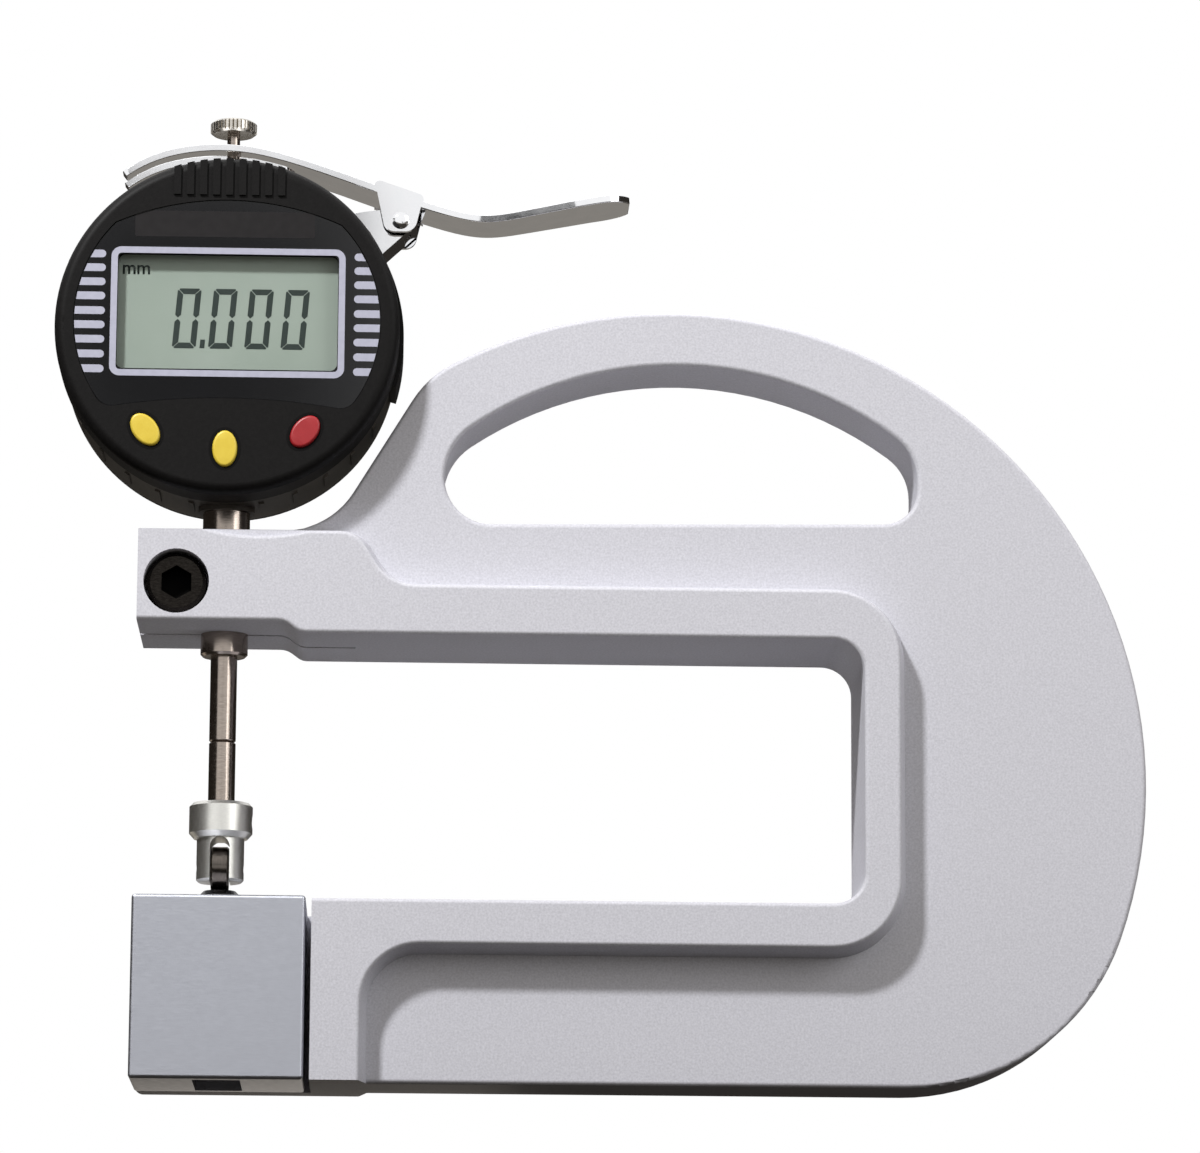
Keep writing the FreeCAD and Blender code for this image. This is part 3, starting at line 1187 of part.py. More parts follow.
def make_saddle():
    """The saddle folded over the lever, whose two ears turn on the hinge pin."""
    inner = float(d.lever_wide) / 2 + 0.02
    outer = inner + float(d.ear_thick)
    hinge = float(hinge_x)
    lower, upper = lever_curves()
    left = -4.6
    right = 3.9

    def top_at(run):
        """Height of the lever's upper line above the hinge, at a distance from it."""
        parameter = upper.parameter(Vector(hinge + run, 4.0 - run * 0.33, 0))
        return upper.value(parameter).y

    cover = float(d.ear_thick)
    ear = [(hinge + left, top_at(left) + cover, 1.0), (hinge - 2.6, -1.9, 2.0), (hinge + 2.4, -1.9, 2.0),
           (hinge + right, top_at(right) + cover, 1.0)]
    plate = [(hinge + left, top_at(left) - 1.3, 0), (hinge + right, top_at(right) - 1.3, 0),
             (hinge + right, top_at(right) + cover, 1.0), (hinge + left, top_at(left) + cover, 1.0)]
    saddle = prism(rounded_outline(plate), -outer, outer)
    for side in (-1, 1):
        saddle = saddle.fuse(prism(rounded_outline(ear), side * inner, side * outer))
    saddle = saddle.cut(lever_sheet(inner))
    below = prism(rounded_outline([(hinge - 12, top_at(left) - 12, 0), (hinge + 12, top_at(left) - 12, 0),
                                   (hinge + 12, top_at(12) - 0.6, 0), (hinge - 12, top_at(-12) - 0.6, 0)]),
                  -inner, inner)
    saddle = saddle.cut(below)
    saddle = saddle.cut(bar_y(hinge, 0, float(d.hinge_pin) / 2 + float(d.fit), -20, 20))
    return solid_feature("lever_saddle", saddle.removeSplitter(), hinge_height)


def make_bracket():
    """The bracket: a folded channel on a curved foot that is screwed to the housing's side."""
    sheet_thick = float(d.bracket_sheet)
    outer = float(d.bracket_wide) / 2
    base = float(d.case_radius) + 0.02
    foot = ring_sector(base, base + sheet_thick, d.foot_low, d.foot_high, -float(d.foot_wide) / 2,
                       float(d.foot_wide) / 2)
    hinge = Vector(float(hinge_x), float(hinge_rise), 0)
    ahead = Vector(*along(d.bracket_slope, 1), 0)
    aside = Vector(-ahead.y, ahead.x, 0)
    drop = float(d.bracket_drop)
    low_end = hinge - aside * drop - ahead * 9.0
    high_end = hinge - aside * drop + ahead * 2.2
    crest = hinge + aside * 2.2 + ahead * 1.6
    back = Vector(*along(d.foot_high, base + 0.4), 0)
    cheek = [(low_end.x, low_end.y, 0), (high_end.x, high_end.y, 1.4), (crest.x, crest.y, 1.4),
             (hinge.x - 6.5, hinge.y + 1.9, 3.0), (back.x, back.y, 0)]
    web = [(low_end.x, low_end.y, 0), (high_end.x, high_end.y, 0),
           ((high_end + aside * sheet_thick).x, (high_end + aside * sheet_thick).y, 0),
           ((low_end + aside * sheet_thick).x, (low_end + aside * sheet_thick).y, 0)]
    bracket = prism(rounded_outline(web), -outer, outer)
    for side in (-1, 1):
        bracket = bracket.fuse(prism(rounded_outline(cheek), side * (outer - sheet_thick), side * outer))
    bracket = bracket.fuse(foot)
    bracket = bracket.cut(bar_y(0, 0, base, -20, 20))
    bracket = bracket.cut(bar_y(hinge.x, hinge.y, float(d.hinge_pin) / 2 + 0.01, -20, 20))
    hole = hinge - aside * (drop + 3) + ahead * 0.2
    drill = Part.makeCylinder(0.6, 4.5, Vector(hole.x, 0, hole.y), Vector(aside.x, 0, aside.y))
    bracket = bracket.cut(drill)
    for side in (-1, 1):
        bracket = bracket.cut(bracket_screw(side, 0.9, 6.0, False))
    return solid_feature("lever_bracket", bracket.removeSplitter(), case_height)


def bracket_screw(side, radius, deep, with_head=True):
    """One radial screw of the bracket's foot, or the hole for it."""
    turn = (float(d.foot_low) + float(d.foot_high)) / 2
    out = Vector(*along(turn, 1), 0)
    way = Vector(out.x, 0, out.y)
    depth = side * (float(d.bracket_wide) / 2 + (float(d.foot_wide) - float(d.bracket_wide)) / 4)
    seat = way * (float(d.case_radius) + 0.02 + float(d.bracket_sheet)) + Vector(0, depth, 0)
    screw = Part.makeCylinder(radius, deep, seat + way * (0.0 if with_head else 2.0), way * -1)
    if with_head:
        head = Part.makeCylinder(1.4, 0.9, seat, way)
        screw = screw.fuse(head).removeSplitter()
        across = Part.makeBox(0.45, 4.0, 0.5, Vector(-0.225, -2.0, -0.5))
        across.Placement = FreeCAD.Placement(seat + way * 0.91, FreeCAD.Rotation(Vector(0, 0, 1), way))
        screw = screw.cut(across)
    return screw


def make_bracket_screws():
    """Two small screws that hold the bracket's foot on the housing."""
    screws = [bracket_screw(side, 0.8, float(d.bracket_sheet) + 1.6) for side in (-1, 1)]
    return solid_feature("bracket_screws", Part.makeCompound(screws), case_height)


def make_hinge_pin():
    """The rivet through ears and channel, with two low heads."""
    face = d.lever_wide / 2 + 0.02 + d.ear_thick + 0.05
    body = new_body("hinge_pin")
    sketch = new_sketch(body, "YZ_Plane")
    shank = d.hinge_pin / 2
    head = d.hinge_head / 2
    polygon(sketch, [(-face - 0.8, 0.0), (-face - 0.8, head - 0.7), (-face - 0.5, head - 0.15), (-face, head),
                     (-face, shank), (face, shank), (face, head), (face + 0.5, head - 0.15),
                     (face + 0.8, head - 0.7), (face + 0.8, 0.0)])
    revolve(body, sketch, "H_Axis")
    keep(body, hinge_height)
    body.setExpression("Placement.Base.x", (d.axis_x + hinge_x).text)
    return body


make_frame()
make_clamp_screw()
make_block()
make_block_screws()
make_anvil()
make_stem()
make_spindle()
make_knob()
make_rod()
make_fork_holder()
make_grub_screw()
make_roller()
make_pin()
make_bezel()
make_housing()
make_back_cover()
make_cover_screws()
make_faceplate()
make_display()
make_buttons()
make_board()
make_battery()
make_bush()
make_carrier()
make_return_spring()
make_lever()
make_saddle()
make_bracket()
make_bracket_screws()
make_hinge_pin()

doc.recompute()
for item in doc.Objects:
    if "Invalid" in item.State or "Error" in item.State:
        raise RuntimeError(f"{item.Label} did not recompute: {item.State}")
os.makedirs("parts", exist_ok=True)
for piece in pieces:
    if piece.Shape.isNull() or not piece.Shape.isValid():
        raise RuntimeError(f"{piece.Label} has no valid shape")
    piece.Shape.exportStep(f"parts/{piece.Label}.step")
    box = piece.Shape.BoundBox
    print(f"{piece.Label}: {len(piece.Shape.Solids)} solid(s), {box.XLength:.1f} x {box.YLength:.1f} x {box.ZLength:.1f}")
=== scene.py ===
# %% [markdown]
# # A digital thickness gauge, finished in Blender
# The shapes come from an exact CAD model: a curved cast arm, a round readout with a
# small display, a spindle with a roller at its foot, and a chromed lifting lever.
# This lesson gives those shapes their paint, plating and prints, and lights them.

# %% Load the CAD model
import json
import math
import bmesh
import bpy
from mathutils import Matrix, Vector


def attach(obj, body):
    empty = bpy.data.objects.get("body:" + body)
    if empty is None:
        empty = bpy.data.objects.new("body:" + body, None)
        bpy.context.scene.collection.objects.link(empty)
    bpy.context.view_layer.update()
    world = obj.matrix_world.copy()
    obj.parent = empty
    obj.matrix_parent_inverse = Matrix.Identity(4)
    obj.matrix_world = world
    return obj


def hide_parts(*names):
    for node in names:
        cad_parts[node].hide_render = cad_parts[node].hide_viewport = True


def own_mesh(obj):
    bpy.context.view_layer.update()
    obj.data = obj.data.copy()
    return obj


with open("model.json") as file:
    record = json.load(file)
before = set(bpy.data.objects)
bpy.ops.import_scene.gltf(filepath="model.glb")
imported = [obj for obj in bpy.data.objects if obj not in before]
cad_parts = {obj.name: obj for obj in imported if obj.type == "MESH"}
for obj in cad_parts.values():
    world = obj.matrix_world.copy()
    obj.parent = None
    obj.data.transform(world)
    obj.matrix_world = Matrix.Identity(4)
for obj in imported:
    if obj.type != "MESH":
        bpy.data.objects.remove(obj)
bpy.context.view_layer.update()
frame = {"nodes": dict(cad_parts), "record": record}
nodes = frame["nodes"]
body_of_node = {
    name: body
    for body, names in frame["record"]["behaviour"]["bodies"].items()
    for name in names
}
scene = bpy.context.scene

# %% [markdown]
# ## Two small helpers for sizes and colours
# The gauge is measured in millimetres from the spindle's axis, and Blender's unit is the metre.
# Colours are read off as sRGB hex codes, and shaders want linear light, so one function
# converts them. A noise texture's scale counts features per metre, so another turns
# the size of a grain in millimetres into that scale.

# %% Sizes and colours
SPINDLE_X = -52.0
FACE_Z = 127.0
MM = 0.001


def at(x, y, z):
    return Vector(((x + SPINDLE_X) / 1000, y / 1000, z / 1000))


def in_mm(lengths):
    return [round(length * 1000, 2) for length in lengths]


def colour(code):
    parts = [int(code[i:i + 2], 16) / 255 for i in (0, 2, 4)]
    linear = [c / 12.92 if c <= 0.04045 else ((c + 0.055) / 1.055) ** 2.4 for c in parts]
    return (*linear, 1.0)


def grain(size_mm):
    return 1000.0 / size_mm


print("face centre:", [round(c, 4) for c in at(0, 0, FACE_Z)])

# %% [markdown]
# ## The camera
# The photograph was taken from a little below the gauge's foot with a long lens, almost
# square to the dial. A long lens far away keeps the arm's sides parallel, so the same
# distance and angle were solved from points on the picture and are set here as numbers.

# %% Camera
LENS_MM, SENSOR_MM, NEAREST = 164.31, 36, 0.05
CAMERA_AT = (-0.0232, -0.9170, -0.0894)
CAMERA_TURN = (100.9272, -0.3173, -2.2453)
camera_data = bpy.data.cameras.new("studio_camera")
camera_data.lens = LENS_MM
camera_data.sensor_width = SENSOR_MM
camera_data.clip_start = NEAREST
camera = bpy.data.objects.new("studio_camera", camera_data)
camera.location = CAMERA_AT
camera.rotation_euler = [math.radians(angle) for angle in CAMERA_TURN]
scene.collection.objects.link(camera)
scene.camera = camera
print("camera:", [round(c, 3) for c in camera.location])

# %% [markdown]
# ## One helper that adds a node
# A material is a small graph. This helper adds one node, sets its options, and either
# writes a value into a socket or joins another node's output to it.

# %% Node helper
def add(tree, kind, inputs=None, **options):
    made = tree.nodes.new(kind)
    for name, value in options.items():
        setattr(made, name, value)
    for name, value in (inputs or {}).items():
        if isinstance(value, bpy.types.NodeSocket):
            tree.links.new(value, made.inputs[name])
        else:
            made.inputs[name].default_value = value
    return made


def new_material(name):
    material = bpy.data.materials.new(name)
    material.use_nodes = True
    material.node_tree.nodes.clear()
    return material, material.node_tree


def finish_with(tree, shader):
    add(tree, "ShaderNodeOutputMaterial", {"Surface": shader})


def calculate(tree, operation, first, second):
    return add(tree, "ShaderNodeMath", {0: first, 1: second}, operation=operation).outputs[0]


def mix(tree, share, first, second):
    return add(tree, "ShaderNodeMixShader", {0: share, 1: first, 2: second}).outputs[0]


print("helpers ready")

# %% [markdown]
# ## Studio: world, floor and lamps
# The picture is a cut-out on white. The camera, mirrors and glass see a plain white
# world, while the soft light that falls on the gauge comes from a dimmer one and from
# large lamps. That soft light is weaker from below, as over a real table. The camera
# looks up from under the floor line, so the floor is clear from below and pale from
# above, where it keeps the gauge's shadow.

# %% World
LEVEL_BELOW, LEVEL_ABOVE = -0.25, 0.35
SOFT_FROM_BELOW, SOFT_FROM_ABOVE = 0.2, 0.36
world = bpy.data.worlds.new("studio_world")
world.use_nodes = True
scene.world = world
tree = world.node_tree
tree.nodes.clear()
rays = add(tree, "ShaderNodeLightPath")
seen = calculate(tree, "MAXIMUM", rays.outputs["Is Camera Ray"], rays.outputs["Is Transmission Ray"])
seen = calculate(tree, "MAXIMUM", seen, rays.outputs["Is Glossy Ray"])
skyward = add(tree, "ShaderNodeSeparateXYZ", {0: add(tree, "ShaderNodeTexCoord").outputs["Generated"]})
strength = add(tree, "ShaderNodeMapRange", {
    "Value": skyward.outputs["Z"], "From Min": LEVEL_BELOW, "From Max": LEVEL_ABOVE,
    "To Min": SOFT_FROM_BELOW, "To Max": SOFT_FROM_ABOVE})
soft_light = add(tree, "ShaderNodeBackground", {"Color": colour("FFF8EC"), "Strength": strength.outputs[0]})
white_wall = add(tree, "ShaderNodeBackground", {"Color": colour("FFFFFF"), "Strength": 1.0})
both = mix(tree, seen, soft_light.outputs[0], white_wall.outputs[0])
add(tree, "ShaderNodeOutputWorld", {"Surface": both})
scene.view_settings.view_transform = "Standard"
print("world set")

# %% Helpers for new pieces
def into_object(name, bm, material):
    mesh = bpy.data.meshes.new(name)
    bm.to_mesh(mesh)
    bm.free()
    mesh.materials.append(material)
    made = bpy.data.objects.new(name, mesh)
    scene.collection.objects.link(made)
    return made


def plate(width, height, rows=1):
    bm = bmesh.new()
    bmesh.ops.create_grid(bm, x_segments=1, y_segments=rows, size=0.5)
    bmesh.ops.scale(bm, vec=(width, height, 1), verts=bm.verts)
    return bm


def glowing(name, grey):
    material, tree = new_material(name)
    finish_with(tree, add(tree, "ShaderNodeEmission", {"Color": colour(grey)}).outputs[0])
    return material


print("piece helpers ready")

# %% Floor
FLOOR_WIDE = 6.0
FLOOR_BELOW = 0.0002
floor_paint, tree = new_material("pale_studio_floor")
pale = add(tree, "ShaderNodeBsdfDiffuse", {"Color": colour("EDEDED")})
clear = add(tree, "ShaderNodeBsdfTransparent")
from_below = add(tree, "ShaderNodeNewGeometry").outputs["Backfacing"]
finish_with(tree, mix(tree, from_below, pale.outputs[0], clear.outputs[0]))
bm = plate(FLOOR_WIDE, FLOOR_WIDE)
bmesh.ops.translate(bm, verts=bm.verts, vec=(0, 0, -FLOOR_BELOW))
floor = into_object("floor", bm, floor_paint)
floor.visible_diffuse = floor.visible_glossy = False
print("floor:", floor.dimensions[:])

# %% [markdown]
# ## Black cards for the metal
# Polished metal has no colour of its own to show, only what it mirrors, so in an all
# white room it disappears. Photographers stand black cards round it and leave
# gaps that draw the bright streaks. These cards are arcs swept round the gauge, and
# only mirror reflections see them: they cast no shadow and dim no lamp.

# %% Black cards
CARD_AWAY = 1.6
FLOOR_CARD_Z = -0.021
NEAR_FLOOR, FAR_FLOOR = 0.55, 2.5


def card(name, start_deg, end_deg, low, high, grey, inner=CARD_AWAY, outer=CARD_AWAY):
    bm = bmesh.new()
    ends = [bm.verts.new((0, -inner, low)), bm.verts.new((0, -outer, high))]
    edge = bm.edges.new(ends)
    turn = Matrix.Rotation(math.radians(start_deg), 3, "Z")
    bmesh.ops.rotate(bm, verts=ends, matrix=turn)
    sweep = math.radians(end_deg - start_deg)
    bmesh.ops.spin(bm, geom=[*ends, edge], axis=(0, 0, 1), angle=sweep, steps=24)
    made = into_object(name, bm, glowing(name, grey))
    made.visible_camera = made.visible_diffuse = False
    made.visible_transmission = made.visible_shadow = False


card("card_for_face", -7.2, -1.5, 0.415, 0.58, "0E0E0E")
card("card_right", 48, 178, -0.6, 0.8, "2E2B28")
card("card_left", -178, -48, -0.6, 0.8, "2E2B28")
card("card_near_block", -178, -120, -0.02, -0.02, "C8C0B4", inner=0.02, outer=0.3)
card("card_floor", -180, 180, FLOOR_CARD_Z, FLOOR_CARD_Z, "3A3733", inner=0.0, outer=NEAR_FLOOR)
card("card_far_floor", -180, 180, FLOOR_CARD_Z, FLOOR_CARD_Z, "86827C", inner=NEAR_FLOOR, outer=FAR_FLOOR)
print("cards set")

# %% [markdown]
# ## The shade under the foot
# The table that the foot stands on keeps soft light from its underside. A dark strip
# below it does the same, and only soft light sees it.

# %% Shade under the foot
SHADE_LONG, SHADE_DEEP = 0.30, 0.12
SHADE_AT = (0.04, 0, -0.003)
bm = plate(SHADE_LONG, SHADE_DEEP)
bmesh.ops.translate(bm, verts=bm.verts, vec=SHADE_AT)
foot_shade = into_object("foot_shade", bm, glowing("foot_shade", "35322F"))
foot_shade.visible_camera = foot_shade.visible_glossy = False
foot_shade.visible_transmission = foot_shade.visible_shadow = False
print("foot shade:", [round(v, 3) for v in foot_shade.dimensions])

# %% [markdown]
# ## Three lamps
# A small key lamp high on the left draws the crisp shadows, a broad one on the right
# softens them, and a strip overhead brightens what faces up.

# %% Lamps
AIM = (0, 0, 0.09)


def lamp(name, place, size, watts):
    data = bpy.data.lights.new(name, "AREA")
    data.shape = "RECTANGLE"
    data.size, data.size_y = size
    data.energy = watts
    made = bpy.data.objects.new(name, data)
    made.location = place
    made.rotation_euler = (Vector(AIM) - Vector(place)).to_track_quat("-Z", "Y").to_euler()
    scene.collection.objects.link(made)


lamp("key_left", (-0.45, -0.61, 0.83), (0.09, 0.09), 12.5)
lamp("fill_right", (1.1, -0.9, 0.7), (0.8, 1.0), 8)
lamp("top_strip", (0.0, 0.2, 1.2), (1.2, 0.5), 5)
print("lamps set")

# %% [markdown]
# ## How a painted, plated or moulded surface is described
# No real surface is even, so most finishes here mix two shades of a colour by a noise
# whose patches have a real size, and a finer noise raises and lowers the surface.
# Both noises use Object coordinates, which stay fixed to the piece when it moves.

# %% A surface with grain
NOISE_LOW, NOISE_HIGH = 0.3, 0.7
TOOTH_MM = 0.1


def noise(tree, where, size_mm, detail):
    inputs = {"Vector": where, "Scale": grain(size_mm), "Detail": detail}
    return add(tree, "ShaderNodeTexNoise", inputs).outputs["Fac"]


def spread(tree, value, low=0.0, high=1.0):
    limits = {"From Min": NOISE_LOW, "From Max": NOISE_HIGH, "To Min": low, "To Max": high}
    return add(tree, "ShaderNodeMapRange", {"Value": value, **limits}).outputs[0]


def two_shades(tree, value, dark, light):
    inputs = {0: spread(tree, value), 6: colour(dark), 7: colour(light)}
    return add(tree, "ShaderNodeMix", inputs, data_type="RGBA").outputs[2]


def relief(tree, height, strength, depth_mm):
    inputs = {"Strength": strength, "Distance": depth_mm * MM, "Height": height}
    return add(tree, "ShaderNodeBump", inputs).outputs[0]


def surface_with(tree, sockets, shader):
    named = {key.replace("_", " "): value for key, value in shader.items()}
    finish_with(tree, add(tree, "ShaderNodeBsdfPrincipled", {**sockets, **named}).outputs[0])


def grained(name, dark, light, patch_mm, bump_mm, bump, **shader):
    material, tree = new_material(name)
    where = add(tree, "ShaderNodeTexCoord").outputs["Object"]
    patches = noise(tree, where, patch_mm, 4.0)
    fine = noise(tree, where, bump_mm, 2.0)
    surface_with(tree, {
        "Base Color": two_shades(tree, patches, dark, light),
        "Normal": relief(tree, fine, bump, TOOTH_MM),
    }, shader)
    return material


print("grained surfaces ready")

# %% [markdown]
# ## A turned or ground surface
# A lathe leaves fine rings round the axis and a grinder leaves straight lines. A noise
# that is stretched along the lines draws both: its mapping is squeezed in one direction,
# so each speck becomes a hairline. The lines change the roughness as well as the
# height, which gives the streaky highlight of machined metal.

# %% Machined metal
LINE_DEEP_MM = 0.05


def machined(name, dark, light, stretch, line_mm, rough, bump):
    material, tree = new_material(name)
    where = add(tree, "ShaderNodeTexCoord").outputs["Object"]
    lines_at = add(tree, "ShaderNodeMapping", {"Vector": where, "Scale": stretch}).outputs[0]
    lines = noise(tree, lines_at, line_mm, 3.0)
    surface_with(tree, {
        "Base Color": two_shades(tree, lines, dark, light),
        "Roughness": spread(tree, lines, rough * 0.8, rough * 1.2),
        "Normal": relief(tree, lines, bump, LINE_DEEP_MM),
        "Metallic": 1.0,
    }, {})
    return material


print("machined surfaces ready")

# %% [markdown]
# ## The finishes of this gauge
# Each is named for the real material and how it was made. The hex codes were matched
# to evenly lit places on the photograph. After the two shades come the size of a patch,
# the size of the fine tooth in millimetres, and the strength of its relief.

# %% Paint, castings and plastics
# Silver enamel sprayed on an aluminium casting: satin, with a fine metallic sparkle.
silver_enamel = grained("silver_enamel_on_cast_aluminium", "BEBEC6", "D2D2DA", 0.35, 0.5, 0.12,
                        Roughness=0.5, IOR=1.5, Specular_IOR_Level=0.22)
# Black ABS moulded in a spark-eroded tool: near black and matte, with a fine leather-like tooth.
moulded_abs = grained("black_moulded_abs", "100F0F", "151414", 0.6, 0.25, 0.2,
                      Roughness=0.5, IOR=1.53, Specular_IOR_Level=0.09)
# The rear shell, moulded ABS: its own near black is painted a lighter brown black, which stands in for the light
# it takes from below; its ribs and rim catch a warm sheen.
housing_abs_painted_lighter = grained("housing_abs_with_painted_underlight", "403B35", "4A453E", 0.6, 0.25, 0.2,
                      Roughness=0.45, IOR=1.53, Specular_IOR_Level=0.3)
# Polycarbonate face moulded in a polished tool: black and glossy.
glossy_face = grained("black_polycarbonate_face", "08080A", "0C0C0F", 8.0, 6.0, 0.02, Roughness=0.12, IOR=1.58)
# Liquid-crystal glass over its grey polariser: even grey green, satin.
polariser = grained("grey_lcd_polariser", "A3ABA1", "AAB1A8", 12.0, 2.0, 0.02, Roughness=0.3, IOR=1.5)
# Screen-printed ink: flat, pale lilac.
lilac_ink = grained("pale_lilac_screen_ink", "A6A7B8", "AFB0C1", 1.0, 0.3, 0.05, Roughness=0.5, IOR=1.5)
# Segments of the display: the polariser turned dark.
dark_segment = grained("dark_lcd_segment", "262F2B", "2C3531", 4.0, 2.0, 0.02, Roughness=0.3, IOR=1.5)
# Moulded buttons: dyed ABS, satin.
yellow_abs = grained("yellow_moulded_abs", "D4B93A", "DAC144", 2.0, 0.3, 0.06, Roughness=0.38, IOR=1.53)
red_abs = grained("red_moulded_abs", "97181F", "9F1E25", 2.0, 0.3, 0.06, Roughness=0.38, IOR=1.53)
# Solder resist on a glass-fibre board: deep green gloss.
solder_resist = grained("green_solder_resist", "0E4A20", "15602B", 1.2, 0.6, 0.1, Roughness=0.3, IOR=1.5)
# The plain strip on the face, moulded ABS: a satin, slightly lighter black.
satin_strip = grained("dark_brown_moulded_strip", "1C1A1B", "211F20", 1.5, 0.4, 0.05,
                      Roughness=0.4, IOR=1.53, Specular_IOR_Level=0.15)
# Painted shade for the small countersink round each button: black without gloss.
countersink_shade_paint = grained("painted_countersink_shade", "060505", "090808", 1.0, 0.3, 0.02,
                     Roughness=0.7, IOR=1.5, Specular_IOR_Level=0.1)
# Painted shade for the deep hex socket of the clamp screw: black without gloss.
painted_socket_shade = grained("socket_painted_shade", "030302", "060505", 1.0, 0.3, 0.02,
                      Roughness=0.7, IOR=1.5, Specular_IOR_Level=0.05)
print("plastics and paint:", len(bpy.data.materials))

# %% [markdown]
# ## The metals
# After the two shades come the stretch of the noise along each axis, the spacing of the
# lines in millimetres, the roughness, and the strength of the lines.

# %% Metals
# Carbon steel turned, hardened and polished: warm grey with fine rings round its axis.
polished_steel = machined("polished_turned_steel", "988D84", "B0A59C", (1, 1, 12), 1.2, 0.2, 0.06)
# Tool steel, ground and satin blasted: cool grey, soft highlight.
ground_steel = machined("satin_ground_steel", "B2B4BC", "B8BAC2", (0.4, 1, 6), 0.5, 0.4, 0.03)
# Bearing steel, ground and darkened by heat: the roller.
roller_steel = machined("heat_darkened_bearing_steel", "58524D", "6A645E", (8, 1, 1), 0.8, 0.2, 0.05)
# Carbide anvil, lapped: dark grey mirror-flat metal.
lapped_carbide = machined("lapped_carbide", "3C3C3E", "4A4A4D", (1, 1, 4), 0.8, 0.25, 0.05)
# Nickel plate on brass or steel: bright with a warm cast.
nickel_plate = machined("nickel_plate", "BDB8B0", "D3CEC6", (1, 1, 8), 0.8, 0.22, 0.08)
# Aluminium turned bright: pale, with rings round its axis.
turned_aluminium = machined("turned_aluminium", "D8D7D2", "E4E3DE", (1, 1, 10), 0.6, 0.36, 0.04)
# Black oxide on alloy steel: near black with an oily sheen.
black_oxide = machined("black_oxide_on_steel", "1F1C1A", "2D2A27", (1, 1, 3), 0.6, 0.26, 0.1)
# Chromium plate on steel: a mirror with a cool cast.
chromium_plate = machined("bright_chromium_plate", "F0F1F3", "F8F8FA", (1, 1, 1), 3.0, 0.07, 0.01)
# Spring wire, hard drawn: grey brown, drawn lines.
spring_wire = machined("hard_drawn_spring_wire", "6E6A66", "8A8580", (1, 1, 2), 0.4, 0.3, 0.1)
print("materials:", len(bpy.data.materials))

# %% [markdown]
# ## The clear pane
# A thin flat sheet of acrylic bends no light that matters: light goes straight through
# it, so the display behind keeps the soft shadow of the window's edge. What shows of
# the sheet is its gloss, which grows towards grazing angles as Fresnel's law says.

# %% Clear acrylic
clear_acrylic, tree = new_material("clear_acrylic_pane")
through = add(tree, "ShaderNodeBsdfTransparent", {"Color": colour("FAFCFC")})
gloss = add(tree, "ShaderNodeBsdfGlossy", {"Color": colour("FFFFFF"), "Roughness": 0.02})
grazing = add(tree, "ShaderNodeFresnel", {"IOR": 1.49})
rear = add(tree, "ShaderNodeNewGeometry").outputs["Backfacing"]
gloss_share = calculate(tree, "MULTIPLY", grazing.outputs[0], calculate(tree, "SUBTRACT", 1.0, rear))
finish_with(tree, mix(tree, gloss_share, through.outputs[0], gloss.outputs[0]))
print("pane ready")

# %% [markdown]
# ## Smooth copies of the CAD pieces
# A CAD export is loose triangles, so light shows every facet. The pieces themselves stay
# as they are: a copy has its doubled corners merged, its curved faces shaded smooth and
# its real edges kept sharp wherever two faces meet at more than 30 degrees. A
# Weighted Normal modifier then keeps the large flat faces flat. The lever is bent from
# thick sheet with tumbled edges, so it gets a Bevel, whose curve mirrors a dark line.

# %% Dress a CAD piece
SHARP_DEG = 30.0
WELD = 0.000002
ROUNDED_MM = {"lever": 0.3}


def dress(name, material):
    bm = bmesh.new()
    bm.from_mesh(nodes[name].data)
    bmesh.ops.remove_doubles(bm, verts=bm.verts, dist=WELD)
    for face in bm.faces:
        face.smooth = True
    for edge in bm.edges:
        edge.smooth = len(edge.link_faces) == 2 and edge.calc_face_angle(0.0) < math.radians(SHARP_DEG)
    piece = into_object(name + "_finish", bm, material)
    if name in ROUNDED_MM:
        rounding = piece.modifiers.new("rounded_edges", "BEVEL")
        rounding.width, rounding.segments = ROUNDED_MM[name] * MM, 3
        rounding.limit_method, rounding.angle_limit = "ANGLE", math.radians(SHARP_DEG)
    weighted = piece.modifiers.new("flat_faces_stay_flat", "WEIGHTED_NORMAL")
    weighted.keep_sharp = True
    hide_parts(name)
    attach(piece, body_of_node[name])
    piece.cycles.shadow_terminator_geometry_offset = 0.2
    return piece


FINISHES = {
    silver_enamel: ["frame"],
    ground_steel: ["anvil_block"],
    lapped_carbide: ["anvil"],
    black_oxide: ["clamp_screw", "block_screws", "grub_screw"],
    polished_steel: ["stem", "spindle", "contact_rod", "roller_pin"],
    roller_steel: ["contact_roller"],
    turned_aluminium: ["fork_holder", "scale_carrier"],
    nickel_plate: ["lifting_knob", "top_bush", "cover_screws", "bracket_screws", "battery"],
    chromium_plate: ["lever", "lever_saddle", "lever_bracket", "hinge_pin"],
    moulded_abs: ["front_bezel", "back_cover", "battery_holder", "battery_cover"],
    housing_abs_painted_lighter: ["rear_housing"],
    glossy_face: ["faceplate"],
    clear_acrylic: ["display_window", "measuring_scale"],
    polariser: ["lcd_panel"],
    yellow_abs: ["left_button", "middle_button"],
    red_abs: ["right_button"],
    solder_resist: ["circuit_board"],
    spring_wire: ["return_spring"],
}
dressed = {name: dress(name, material) for material, names in FINISHES.items() for name in names}
print("dressed:", len(dressed), "of", len(nodes))

# %% [markdown]
# ## The return spring
# The coil stands between the rising spindle and the roof of the housing. In the real gauge its top end
# stays where it is and it loses as much length as the spindle travels; here its copy only gets a mesh of its
# own.

# %% Return spring
coil = dressed["return_spring"]
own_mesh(coil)

# %% [markdown]
# ## The clamp screw's socket
# The hexagon is deep and lies in shade, so it reads darker than the screw's face; the faces
# inside it get their own black, a painted shade.

